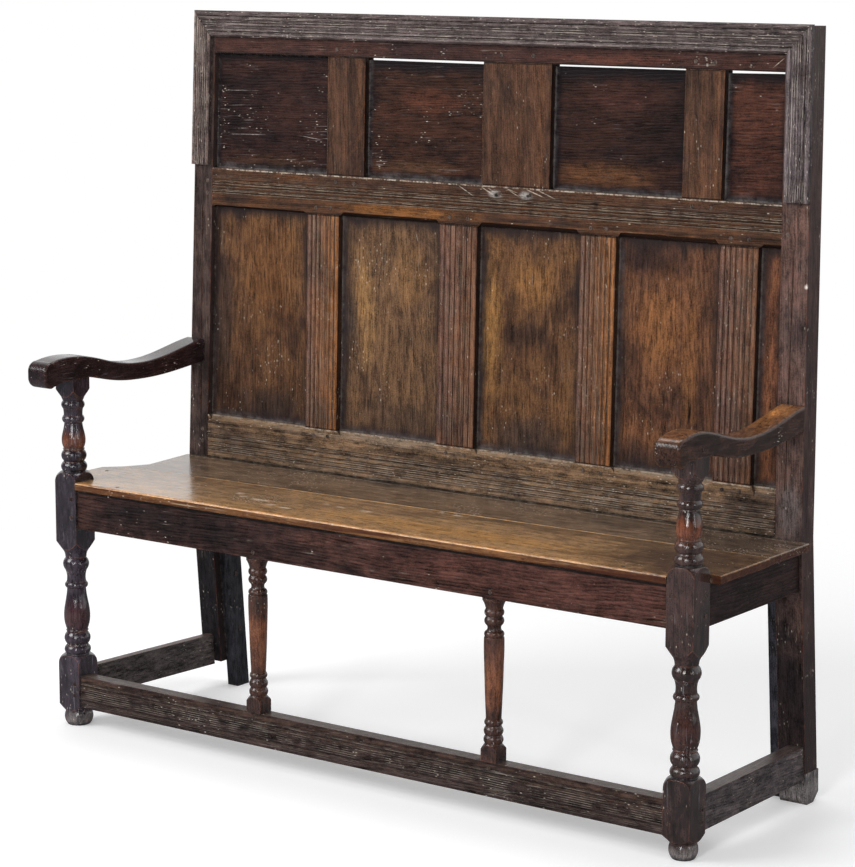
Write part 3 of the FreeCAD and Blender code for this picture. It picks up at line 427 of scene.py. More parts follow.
@dataclass(frozen=True)
class Spot:
    """A soft patch: its middle, half sizes, colour, strength, and turns about y and about z."""

    middle: Triple
    half: Triple
    colour: Tone = (0, 0, 0)
    strength: float = 0.8
    turn: float = 0.0
    spin: float = 0.0


@dataclass(frozen=True)
class Lines:
    """A band of scratched lines on one axis, from a start to an end level."""

    axis: int
    start: float
    end: float
    pitch: float
    dust: float
    depth: float


@dataclass(frozen=True)
class Across:
    """Colours that change across a member, between two levels of one axis."""

    axis: int
    start: float
    end: float
    stops: Stops


@dataclass(frozen=True)
class Rim:
    """The darkened border of a panel inside its opening, in metres."""

    left: float
    right: float
    low: float
    high: float
    width: float
    colour: Tone
    strength: float = 0.92


@dataclass(frozen=True)
class OakFinish:
    """One finish of old oak: its tones, figure, wear, grime, painted shade and sheen, and gloss, with lengths
    in metres.
    """

    name: str
    tone: Tone
    light: Tone
    dark: Tone
    worn: Tone = (150, 92, 50)
    dust_colour: Tone = (150, 138, 124)
    grain: Grain = Grain.UPRIGHT
    pith: Pair = (0.02, 0.07)
    tilt: Pair = (0.03, 0.05)
    spacing: float = 0.004
    unevenness: float = 0.010
    rings: float = 0.35
    streaks: float = 0.5
    fibres: float = 0.35
    clouds: float = 0.5
    mottle: float = 0.5
    pores: float = 0.5
    wear: float = 0.6
    # How strongly hollows are darkened: a painted shade, with grime.
    hollow_shade_and_dirt: float = 0.7
    dust: float = 0.45
    specks: float = 0.4
    clusters: tuple[Spot, ...] = ()
    gloss: float = 0.42
    polish: float = 0.35
    relief: float = 0.5
    rounding: float = 0.002
    across: Across | None = None
    across_strength: float = 0.75
    drift: float = 0.10
    spots: tuple[Spot, ...] = ()
    lines: tuple[Lines, ...] = ()
    rim: Rim | None = None
    front: Triple = (0.0, -1.0, 0.0)
    # Colour painted on faces turned aside from the front or looking down: a painted shade.
    edges: Tone | None = None
    side_shade_strength: float = 0.85
    edges_polish: float = 1.0
    # Colour on faces that look up: dust together with a painted sheen.
    ledge: Tone | None = None
    ledge_strength: float = 0.6
    # Dark lines at joints between boards, and painted shadow lines.
    seams: tuple[tuple[int, float], ...] = ()
    crusts: tuple[tuple[int, float], ...] = ()
    wear_heights: Pair | None = None
    ring: float = 0.0
    seed: float = 0.0


class OakShop:
    """Holds the node groups that all wood materials share."""

    def __init__(self) -> None:
        """Build each shared group once."""
        self.fibres = build_fibres()
        self.wear = build_wear()
        self.specks = build_specks()
        self.lines = build_lines()
        self.spot = build_spot()
        self.border = build_border()
        self.faces = build_faces()
        self.seam = build_seam()

    def make(self, finish: OakFinish) -> bpy.types.Material:
        """Build the material of one finish."""
        return Wood(self, finish).build()


class Wood:
    """One wood material, laid layer by layer."""

    def __init__(self, shop: OakShop, finish: OakFinish) -> None:
        """Start the material with its figure, wear and specks.

        Args:
            shop: Holds the shared groups.
            finish: The finish to follow.
        """
        self.shop, self.finish = shop, finish
        self.material = bpy.data.materials.new(finish.name)
        self.material.use_nodes = True
        self.t = t = Tree(self.material.node_tree)
        self.place = t.node("TexCoord").outputs["Object"]
        turned = t.moved(t.moved(self.place, turn=finish.grain.value), turn=(*finish.tilt, 0.0))
        self.wood = t.use(shop.fibres, {"Place": turned, "Pith X": finish.pith[0], "Pith Y": finish.pith[1],
            "Spacing": finish.spacing, "Unevenness": finish.unevenness, "Seed": finish.seed})
        self.wear = t.use(shop.wear, {"Place": self.place, "Round": finish.rounding})
        amount: Number = finish.specks
        for cluster in finish.clusters:
            amount = t.add(amount, t.times(self.inside(cluster), 0.9))
        self.specks = t.use(shop.specks, {"Place": turned, "Amount": amount, "Seed": finish.seed})
        self.faces = t.use(shop.faces, {"Front": finish.front})
        self.crumbs = t.noise(self.place, 105.0, 4.0, 0.75)
        self.colour: Socket | Linear = from_screen(finish.tone)
        self.height: Number = 0.0

    def inside(self, spot: Spot) -> Socket:
        """How far inside a spot a place is.

        Args:
            spot: The spot.

        Returns:
            Nought at the spot's edge to one in its middle.
        """
        t = self.t
        shifted = t.vector("SUBTRACT", self.place, spot.middle).outputs[0]
        turned = t.moved(shifted, turn=(0.0, spot.turn, spot.spin))
        sized = t.moved(turned, scale=tuple(1.0 / half for half in spot.half))
        return t.use(self.shop.spot, {"Place": sized, "Ragged": self.place})["Inside"]

    def level(self, axis: int) -> Socket:
        """The place's number on one axis."""
        return self.t.parts(self.place)[axis]

    def cover(self, mask: Socket, strength: Number, tone: Tone) -> None:
        """Lay a screen colour over what is there where a mask is high."""
        self.colour = self.t.cover(self.colour, mask, strength, tone)

    def lay_tones(self) -> None:
        """Lay the bands across the member, the clouds and the patches."""
        t, finish = self.t, self.finish
        if finish.across:
            across = finish.across
            share = t.math("DIVIDE", t.less(self.level(across.axis), across.start), across.end - across.start)
            share = t.add(share, t.swing(t.noise(self.place, 9.0, 3.0, 0.6), finish.drift))
            patchy = t.noise(self.place, 23.0, 4.0, 0.65)
            amount = t.band(patchy, 0.25, 0.75, finish.across_strength * 0.7, finish.across_strength)
            self.colour = t.mix(amount, self.colour, t.ramp(share, across.stops))
        self.cover(t.band(self.wood["Clouds"], 0.30, 0.72), finish.clouds, finish.light)
        self.cover(t.band(self.wood["Clouds"], 0.50, 0.28), finish.clouds, finish.dark)
        for spot in finish.spots:
            self.cover(self.inside(spot), spot.strength, spot.colour)

    def lay_figure(self) -> None:
        """Lighten and darken the wood with its rings, streaks, fibres and blotches."""
        t, finish, wood = self.t, self.finish, self.wood
        darkest = 0.08
        grit = t.noise(self.place, 460.0, 2.0, 0.6)
        shade = t.add(1.0, t.swing(wood["Rings"], finish.rings, 0.55))
        for part, size in ((wood["Streaks"], finish.streaks * 2.6),
            (t.band(wood["Fibres"], 0.32, 0.68), finish.fibres * 0.95),
            (t.band(grit, 0.32, 0.68), finish.fibres * 0.75),
            (t.band(wood["Mottle"], 0.33, 0.67), finish.mottle)):
            shade = t.add(shade, t.swing(part, size))
        shade = t.math("MAXIMUM", shade, darkest)
        grey = t.node("CombineColor", {0: shade, 1: shade, 2: shade}).outputs[0]
        self.colour = t.mix(1.0, self.colour, grey, "MULTIPLY")
        self.cover(wood["Pores"], finish.pores, finish.dark)
        height = t.add(t.times(wood["Fibres"], 0.5), t.times(wood["Rings"], 0.25))
        self.height = t.less(height, t.times(wood["Pores"], 0.5))

    def lay_border(self) -> None:
        """Darken the rim of a panel's opening, and lay haze and a dusty line along it."""
        t, rim, dust = self.t, self.finish.rim, self.finish.dust_colour
        sides = {"Left": rim.left, "Right": rim.right, "Low": rim.low, "High": rim.high, "Width": rim.width}
        near = t.use(self.shop.border, {"Place": self.place, **sides})
        rubbed = t.noise(self.place, 60.0, 4.0, 0.7)
        self.cover(near["Rim"], rim.strength, rim.colour)
        self.cover(near["Haze"], t.band(rubbed, 0.35, 0.68, 0.05, 0.62), HAZE)
        self.cover(near["Line"], t.band(rubbed, 0.35, 0.65, 0.15, 0.75), dust)

    def lay_lines(self) -> None:
        """Cut the scratched lines, and mark the dark joint lines, the painted shadow lines among them, and
        the crusts beside them.
        """
        t, finish = self.t, self.finish
        for lines in finish.lines:
            cut = t.use(self.shop.lines, {"Place": self.place, "Level": self.level(lines.axis),
                "Start": lines.start, "End": lines.end, "Pitch": lines.pitch})
            self.cover(cut["Dust"], lines.dust, finish.dust_colour)
            self.height = t.less(self.height, t.times(cut["Grooves"], 2.2 * lines.depth))
        for axis, at in finish.seams:
            line = t.use(self.shop.seam, {"Level": self.level(axis), "At": at})["Line"]
            self.colour = t.mix(t.times(line, 0.9), self.colour, SEAM_AND_SHADOW_BLACK)
        for axis, at in finish.crusts:
            line = t.use(self.shop.seam, {"Level": self.level(axis), "At": at})["Line"]
            self.cover(line, t.band(self.crumbs, 0.42, 0.60, 0.05, 0.85), CRUST)

    def lay_shade_and_dust(self) -> None:
        """Paint shade on faces turned aside, dust with a painted sheen on those that look up, painted shade
        with grime in hollows, and dust in nooks.
        """
        t, finish = self.t, self.finish
        if finish.edges:
            # Faces turned aside or looking down get a painted shade.
            uneven = t.band(self.wood["Streaks"], 0.3, 0.7, 1.0, 0.75)
            self.cover(t.times(self.faces["Aside"], uneven), finish.side_shade_strength, finish.edges)
        if finish.ledge:
            # Faces that look up get dust together with a painted sheen.
            lying = t.times(self.faces["Ledge"], t.band(self.crumbs, 0.38, 0.62, 0.15, 1.0))
            self.cover(lying, finish.ledge_strength, finish.ledge)
        # Hollows found by ambient occlusion get a painted shade, with grime.
        self.cover(self.wear["Hollow"], finish.hollow_shade_and_dirt, finish.dark)
        gritty = t.noise(self.place, 95.0, 4.0, 0.75)
        powder = t.times(self.wear["Nook"], t.band(gritty, 0.42, 0.66))
        self.cover(powder, finish.dust, finish.dust_colour)

    def lay_wear(self) -> None:
        """Rub the arrises, and strew pale hairs, chips and worm holes."""
        t, finish = self.t, self.finish
        rubbed = t.times(self.wear["Arris"], t.band(self.crumbs, 0.38, 0.56, 0.35, 1.0))
        if finish.wear_heights:
            rubbed = t.times(rubbed, t.band(self.level(2), *finish.wear_heights, 0.12, 1.0))
        self.cover(rubbed, finish.wear, finish.worn)
        if finish.ring:
            broken = t.band(t.noise(self.place, 170.0, 3.0, 0.6), 0.36, 0.60, 0.2, 1.0)
            self.cover(t.times(self.wear["Edge"], broken), finish.ring, finish.dust_colour)
        self.cover(self.specks["Hairs"], 0.45, finish.dust_colour)
        self.cover(self.specks["Chips"], 0.75, CHIP)
        self.colour = t.mix(t.times(self.specks["Holes"], 0.9), self.colour, HOLE_BLACK)

    def connect(self) -> None:
        """Set the shader's colour, roughness, polish and fine relief."""
        t, finish = self.t, self.finish
        relief_depth = 0.0007
        dull = t.add(finish.gloss, t.swing(self.wood["Streaks"], 0.30))
        dull = t.add(dull, t.times(self.wear["Hollow"], 0.28))
        dull = t.less(dull, t.times(self.wear["Arris"], 0.10))
        dull = t.add(dull, t.times(self.specks["Chips"], 0.3))
        height = t.less(self.height, t.times(self.specks["Holes"], 2.0))
        height = t.add(height, t.times(t.noise(self.place, 38.0, 3.0, 0.5), 1.6))
        bump = t.node("Bump", {"Strength": finish.relief, "Distance": relief_depth, "Height": height,
            "Normal": self.wear["Soft"]})
        polish: Number = finish.polish
        if finish.edges and finish.edges_polish < 1.0:
            polish = t.band(self.faces["Aside"], 0.0, 1.0, finish.polish, finish.polish * finish.edges_polish)
        t.fill(self.material.node_tree.nodes["Principled BSDF"],
            {"Base Color": self.colour, "Roughness": dull, "Specular IOR Level": polish,
            "Normal": bump.outputs[0]})

    def build(self) -> bpy.types.Material:
        """Lay every layer in order.

        Returns:
            The material, with one Principled BSDF.
        """
        self.lay_tones()
        self.lay_figure()
        if self.finish.rim:
            self.lay_border()
        self.lay_lines()
        self.lay_shade_and_dust()
        self.lay_wear()
        self.connect()
        return self.material


@dataclass(frozen=True)
class Lamp:
    """A soft rectangular lamp: its place, its two sides in metres and its power in watts."""

    name: str
    place: Triple
    size: Pair
    power: float


@dataclass
class Studio:
    """The camera, the soft lights, the white surround and the floor."""

    place: Triple = (2.9566, -4.0201, 1.5074)
    azimuth: float = 36.0216
    pitch: float = 10.1056
    roll: float = 0.1409
    lens: float = 118.23
    sensor: float = 36.0
    reach: float = 60.0
    target: Triple = (0.0, 0.0, 0.65)
    lamps: tuple[Lamp, ...] = (
        Lamp("key", (-2.9, -3.4, 3.2), (2.4, 2.4), 142.0),
        Lamp("front", (1.6, -4.9, 2.3), (0.7, 2.7), 96.0),
        Lamp("side", (4.4, -0.9, 1.7), (0.34, 2.2), 19.0),
        Lamp("top", (-0.3, 0.5, 3.9), (3.0, 1.2), 46.0))
    surround_light: float = 0.44
    surround_before: float = 0.07
    floor_half: float = 30.0
    floor_tone: Linear = (0.86, 0.86, 0.87, 1.0)
    floor_mirrored: Linear = (0.19, 0.19, 0.20, 1.0)
    floor_roughness: float = 0.6
    floor_polish: float = 0.2
    floor_glow: float = 0.24
    floor_fade: Pair = (1.0, 2.3)

    def stand(self, name: str, data: bpy.types.ID) -> bpy.types.Object:
        """Put a new object into the scene.

        Args:
            name: The object's name.
            data: Its camera, lamp or mesh.

        Returns:
            The new object.
        """
        made = bpy.data.objects.new(name, data)
        bpy.context.scene.collection.objects.link(made)
        return made

    def set_camera(self) -> None:
        """Put the camera where the photograph was taken from."""
        around, down, over = (math.radians(v) for v in (self.azimuth, self.pitch, self.roll))
        ahead = Vector((-math.sin(around) * math.cos(down), math.cos(around) * math.cos(down),
            -math.sin(down)))
        right = Vector((math.cos(around), math.sin(around), 0.0))
        up = right.cross(ahead)
        turned_right = right * math.cos(over) + up * math.sin(over)
        turned_up = up * math.cos(over) - right * math.sin(over)
        data = bpy.data.cameras.new("camera")
        data.sensor_fit = "HORIZONTAL"
        data.sensor_width = self.sensor
        data.lens = self.lens
        data.clip_end = self.reach
        camera = self.stand("camera", data)
        matrix = Matrix((turned_right, turned_up, -ahead)).transposed().to_4x4()
        matrix.translation = Vector(self.place)
        camera.matrix_world = matrix
        bpy.context.scene.camera = camera

    def set_lamps(self) -> None:
        """Hang large soft lamps, each turned towards the middle of the bench."""
        for lamp in self.lamps:
            data = bpy.data.lights.new(lamp.name, "AREA")
            data.shape = "RECTANGLE"
            data.size, data.size_y = lamp.size
            data.energy = lamp.power
            hung = self.stand(lamp.name, data)
            hung.location = lamp.place
            hung.rotation_mode = "QUATERNION"
            hung.rotation_quaternion = (Vector(self.target) - Vector(lamp.place)).to_track_quat("-Z", "Y")

    def set_surround(self) -> None:
        """A white surround, which is dimmer as a light and in front of the bench."""
        world = bpy.data.worlds.new("white_surround")
        bpy.context.scene.world = world
        world.use_nodes = True
        t = Tree(world.node_tree)
        path = t.node("LightPath").outputs
        _, along, _ = t.parts(t.node("TexCoord").outputs["Generated"])
        mirrored = t.times(path["Is Glossy Ray"], t.band(along, -0.20, 0.40, self.surround_before, 1.0))
        light = t.add(t.times(t.less(1.0, path["Is Glossy Ray"]), self.surround_light), mirrored)
        seen = t.math("MAXIMUM", path["Is Camera Ray"], path["Is Transmission Ray"])
        level = t.math("MAXIMUM", light, seen)
        t.fill(world.node_tree.nodes["Background"], {"Color": WHITE, "Strength": level})

    def set_floor(self) -> None:
        """A plain white floor that keeps the bench's shadow and runs out into the white surround."""
        half = self.floor_half
        mesh = bpy.data.meshes.new("floor")
        mesh.from_pydata([(-half, -half, 0), (half, -half, 0), (half, half, 0), (-half, half, 0)], [],
            [(0, 1, 2, 3)])
        floor = self.stand("floor", mesh)
        material = bpy.data.materials.new("white_floor")
        material.use_nodes = True
        t = Tree(material.node_tree)
        path = t.node("LightPath").outputs
        tone = t.mix(path["Is Glossy Ray"], self.floor_tone, self.floor_mirrored)
        looks = {"Roughness": self.floor_roughness, "Specular IOR Level": self.floor_polish,
            "Base Color": tone}
        shader = t.fill(material.node_tree.nodes["Principled BSDF"], looks)
        strength = t.times(path["Is Camera Ray"], self.floor_glow)
        glow = t.node("Emission", {"Color": WHITE, "Strength": strength})
        lifted = t.node("AddShader", {0: shader.outputs[0], 1: glow.outputs[0]}).outputs[0]
        white = t.node("Emission", {"Color": WHITE, "Strength": 1.0}).outputs[0]
        far = t.length(t.node("TexCoord").outputs["Object"])
        amount = t.times(t.band(far, *self.floor_fade), path["Is Camera Ray"])
        mixed = t.node("MixShader", {0: amount, 1: lifted, 2: white}).outputs[0]
        t.put(material.node_tree.nodes["Material Output"].inputs["Surface"], mixed)
        mesh.materials.append(material)

    def build(self) -> None:
        """Set up everything that isn't part of the bench."""
        bpy.context.scene.view_settings.view_transform = "Standard"
        self.set_camera()
        self.set_lamps()
        self.set_surround()
        self.set_floor()
        log.info("studio: camera, %d lamps, surround and floor", len(self.lamps))


def patches(level: float, *rows: tuple, deep: float = 0.2) -> tuple[Spot, ...]:
    """Soft patches on an upright face that looks along y.

    Args:
        level: Their y.
        *rows: For each its x, z, half width and half height, then a spot's other values in order.
        deep: Their half depth.

    Returns:
        A spot for each row.
    """
    return tuple(Spot((x, level, z), (wide, deep, high), *rest) for x, z, wide, high, *rest in rows)


def scratch(start: Pair, end: Pair, width: float, colour: Tone, strength: float) -> Spot:
    """A long thin patch on the upright back between two places.

    Args:
        start: x and z of one end.
        end: x and z of the other end.
        width: The scratch's width in metres.
        colour: Its screen colour.
        strength: How strongly it covers the wood.

    Returns:
        A spot turned to lie along the line from start to end.
    """
    level, deep = 0.185, 0.06
    across, up = end[0] - start[0], end[1] - start[1]
    middle = ((start[0] + end[0]) / 2, level, (start[1] + end[1]) / 2)
    half = (math.hypot(across, up) / 2, deep, width / 2)
    return Spot(middle, half, colour, strength, math.atan2(up, across))


def stripes(groove: Tone, near: Tone, far: Tone, ridges: int) -> Stops:
    """Dark grooves and light ridges that take turns across a member, made by rule.

    Args:
        groove: Screen colour of the grooves.
        near: Screen colour of the first ridge.
        far: Screen colour of the last ridge.
        ridges: How many ridges there are.

    Returns:
        Stops of a ramp, each a place from nought to one and a screen colour.
    """
    stops = []
    for number in range(2 * ridges + 1):
        uneven = 0.35 * math.sin(2.4 * number + ridges)
        share = min(1.0, max(0.0, (number + uneven) / (2 * ridges)))
        ridge = tuple(a + (b - a) * share for a, b in zip(near, far))
        shallow = 0.25 + 0.2 * math.sin(1.7 * number)
        trough = tuple(a + (b - a) * shallow for a, b in zip(groove, ridge))
        stops.append((share, ridge if number % 2 else trough))
    return tuple(stops)


@dataclass
class Assembly:
    """A part of the bench that is dressed in one go."""

    shop: OakShop
    nodes: dict[str, bpy.types.Object]

    def dress(self, name: str, material: bpy.types.Material) -> None:
        """Give one node of the frame its material in every slot.

        Args:
            name: The node's name.
            material: The material.
        """
        piece = self.nodes[name]
        if not piece.material_slots:
            piece.data.materials.append(material)
        for slot in piece.material_slots:
            slot.material = material
        log.info("%s: %s", name, material.name)

    def wood(self, piece: str, finish: OakFinish, name: str, **changes: object) -> None:
        """Dress one piece in a finish that has a new name and some other values."""
        self.dress(piece, self.shop.make(replace(finish, name=name, **changes)))


@dataclass(frozen=True)
class Board:
    """What makes one panel's board its own: tones, the pith's place, patches and dense specks."""

    tone: Tone
    light: Tone
    clouds: float
    pith: Pair
    spots: tuple[Spot, ...] = ()
    clusters: tuple[Spot, ...] = ()
    rings: float = 0.36
    specks: float = 0.42


@dataclass
class BackPanels(Assembly):
    """The nine panels: warm upright figure below, dark figure on its side above."""

    groove: float = 0.007
    lower: tuple[Board, ...] = (
        Board((76, 52, 38), (108, 76, 48), 0.7, (-0.52, 0.23), specks=0.5,
              spots=patches(0.19, (-0.484, 0.86, 0.085, 0.14, (114, 76, 44), 0.55),
                            (-0.480, 0.595, 0.11, 0.05, (42, 35, 34), 0.75),
                            (-0.600, 0.75, 0.035, 0.20, (46, 38, 36), 0.7)),
              clusters=patches(0.19, (-0.459, 0.70, 0.05, 0.03), (-0.57, 0.60, 0.05, 0.03), deep=0.1)),
        Board((83, 62, 48), (115, 86, 59), 0.7, (-0.17, 0.26), specks=0.55,
              spots=(*patches(0.19, (-0.249, 0.812, 0.032, 0.16, (144, 108, 68), 0.55, 0.08),
                              (-0.288, 0.78, 0.028, 0.07, (58, 50, 47), 0.7),
                              (-0.142, 0.877, 0.055, 0.08, (126, 92, 58), 0.5),
                              (-0.163, 0.60, 0.11, 0.05, (60, 48, 43), 0.6)),
                     scratch((-0.135, 0.958), (-0.128, 0.938), 0.004, (150, 142, 136), 0.6)),
              clusters=patches(0.19, (-0.292, 0.815, 0.02, 0.012), (-0.14, 0.88, 0.03, 0.03),
                               (-0.27, 0.70, 0.03, 0.03), (-0.02, 0.656, 0.02, 0.02), deep=0.1)),
        Board((79, 55, 40), (119, 84, 52), 0.7, (0.11, 0.25), specks=0.5,
              spots=(*patches(0.19, (0.040, 0.79, 0.036, 0.15, (142, 102, 56), 0.6),
                              (0.135, 0.88, 0.07, 0.055, (138, 96, 54), 0.55),
                              (0.120, 0.786, 0.07, 0.03, (52, 38, 33), 0.65),
                              (0.133, 0.594, 0.11, 0.055, (54, 47, 45), 0.65)),
                     scratch((0.0325, 0.935), (0.0300, 0.910), 0.004, (12, 9, 9), 0.9)),
              clusters=patches(0.19, (0.16, 0.94, 0.025, 0.02), (0.06, 0.62, 0.03, 0.02), deep=0.1)),
        Board((80, 54, 41), (116, 76, 48), 0.7, (0.43, 0.235), rings=0.4,
              spots=(*patches(0.19, (0.378, 0.945, 0.11, 0.04, (42, 30, 29), 0.8),
                              (0.400, 0.815, 0.055, 0.10, (130, 86, 50), 0.55),
                              (0.466, 0.77, 0.022, 0.16, (122, 80, 46), 0.5),
                              (0.370, 0.583, 0.10, 0.045, (46, 38, 37), 0.65)),
                     scratch((0.4705, 0.70), (0.4665, 0.655), 0.006, (10, 8, 8), 0.95),
                     scratch((0.4740, 0.655), (0.4710, 0.638), 0.004, (160, 148, 136), 0.55))),
        Board((98, 62, 45), (126, 80, 52), 0.6, (0.66, 0.25)))
    upper: tuple[Board, ...] = (
        Board((35, 23, 22), (58, 35, 29), 0.7, (-1.11, 0.235), specks=0.56,
              spots=(scratch((-0.615, 1.2048), (-0.510, 1.2075), 0.0022, (150, 142, 138), 0.7),
                     scratch((-0.610, 1.1201), (-0.480, 1.1236), 0.0022, (150, 142, 138), 0.7),
                     scratch((-0.420, 1.1254), (-0.357, 1.1190), 0.0022, (150, 142, 138), 0.6),
                     *patches(0.2, (-0.48, 1.070, 0.13, 0.018, (76, 52, 38), 0.6))),
              clusters=patches(0.2, (-0.362, 1.214, 0.022, 0.012), (-0.362, 1.132, 0.020, 0.03),
                               (-0.605, 1.16, 0.02, 0.09), deep=0.1)),
        Board((44, 28, 23), (72, 43, 30), 0.7, (-1.15, 0.225), rings=0.4, specks=0.55,
              spots=patches(0.2, (-0.13, 1.078, 0.12, 0.018, (84, 58, 40), 0.6),
                            (-0.107, 1.20, 0.09, 0.03, (88, 50, 35), 0.5)),
              clusters=patches(0.2, (-0.010, 1.196, 0.022, 0.03), (-0.22, 1.10, 0.025, 0.04), deep=0.1)),
        Board((34, 22, 20), (58, 35, 27), 0.7, (-1.18, 0.225), rings=0.4,
              spots=patches(0.2, (0.268, 1.083, 0.15, 0.034, (96, 63, 40), 0.7),
                            (0.305, 1.225, 0.11, 0.04, (68, 40, 33), 0.6))),
        Board((58, 35, 29), (88, 53, 39), 0.6, (-1.10, 0.235), rings=0.4, specks=0.5))

    def dress_board(self, name: str, board: Board, finish: OakFinish, width: float, colour: Tone,
            **changes: object) -> None:
        """Dress one panel.

        Args:
            name: The panel's node.
            board: What is the panel's own.
            finish: What the panels of its row share.
            width: How far the darkening reaches in from the rim of its opening.
            colour: The darkening's screen colour.
            **changes: Other values of the finish.
        """
        low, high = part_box(name)
        rim = Rim(low.x + self.groove, high.x - self.groove, low.z + self.groove, high.z - self.groove,
            width, colour)
        self.wood(name, finish, "board_" + name, tone=board.tone, light=board.light, clouds=board.clouds,
            pith=board.pith, specks=board.specks, clusters=board.clusters,
            spots=board.spots, rim=rim, **changes)

    def dress_all(self) -> None:
        """Give each panel its own board."""
        below = OakFinish("lower_board", (0, 0, 0), (0, 0, 0), (36, 25, 23), spacing=0.0050,
            unevenness=0.030, streaks=0.45, fibres=0.75, mottle=0.55, pores=0.7, hollow_shade_and_dirt=0.8, dust=0.55,
            polish=0.11, relief=0.6, dust_colour=(132, 122, 116))
        for number, board in enumerate(self.lower):
            self.dress_board(f"lower_panel_{number + 1}", board, below, 0.028, (38, 32, 33),
                rings=board.rings * 0.8, tilt=(0.05 + 0.01 * number, 0.02), seed=1.3 + 2.1 * number)
        above = replace(below, dark=(19, 14, 16), grain=Grain.ALONG, tilt=(0.04, 0.03), spacing=0.0055,
            unevenness=0.044, streaks=0.5, fibres=0.7, pores=0.65, hollow_shade_and_dirt=0.75, dust=0.5, gloss=0.38,
            polish=0.09, dust_colour=(134, 126, 124))
        for number, board in enumerate(self.upper):
            self.dress_board(f"upper_panel_{number + 1}", board, above, 0.020, (24, 19, 22),
                rings=board.rings * 0.75, seed=20.7 + 3.3 * number)


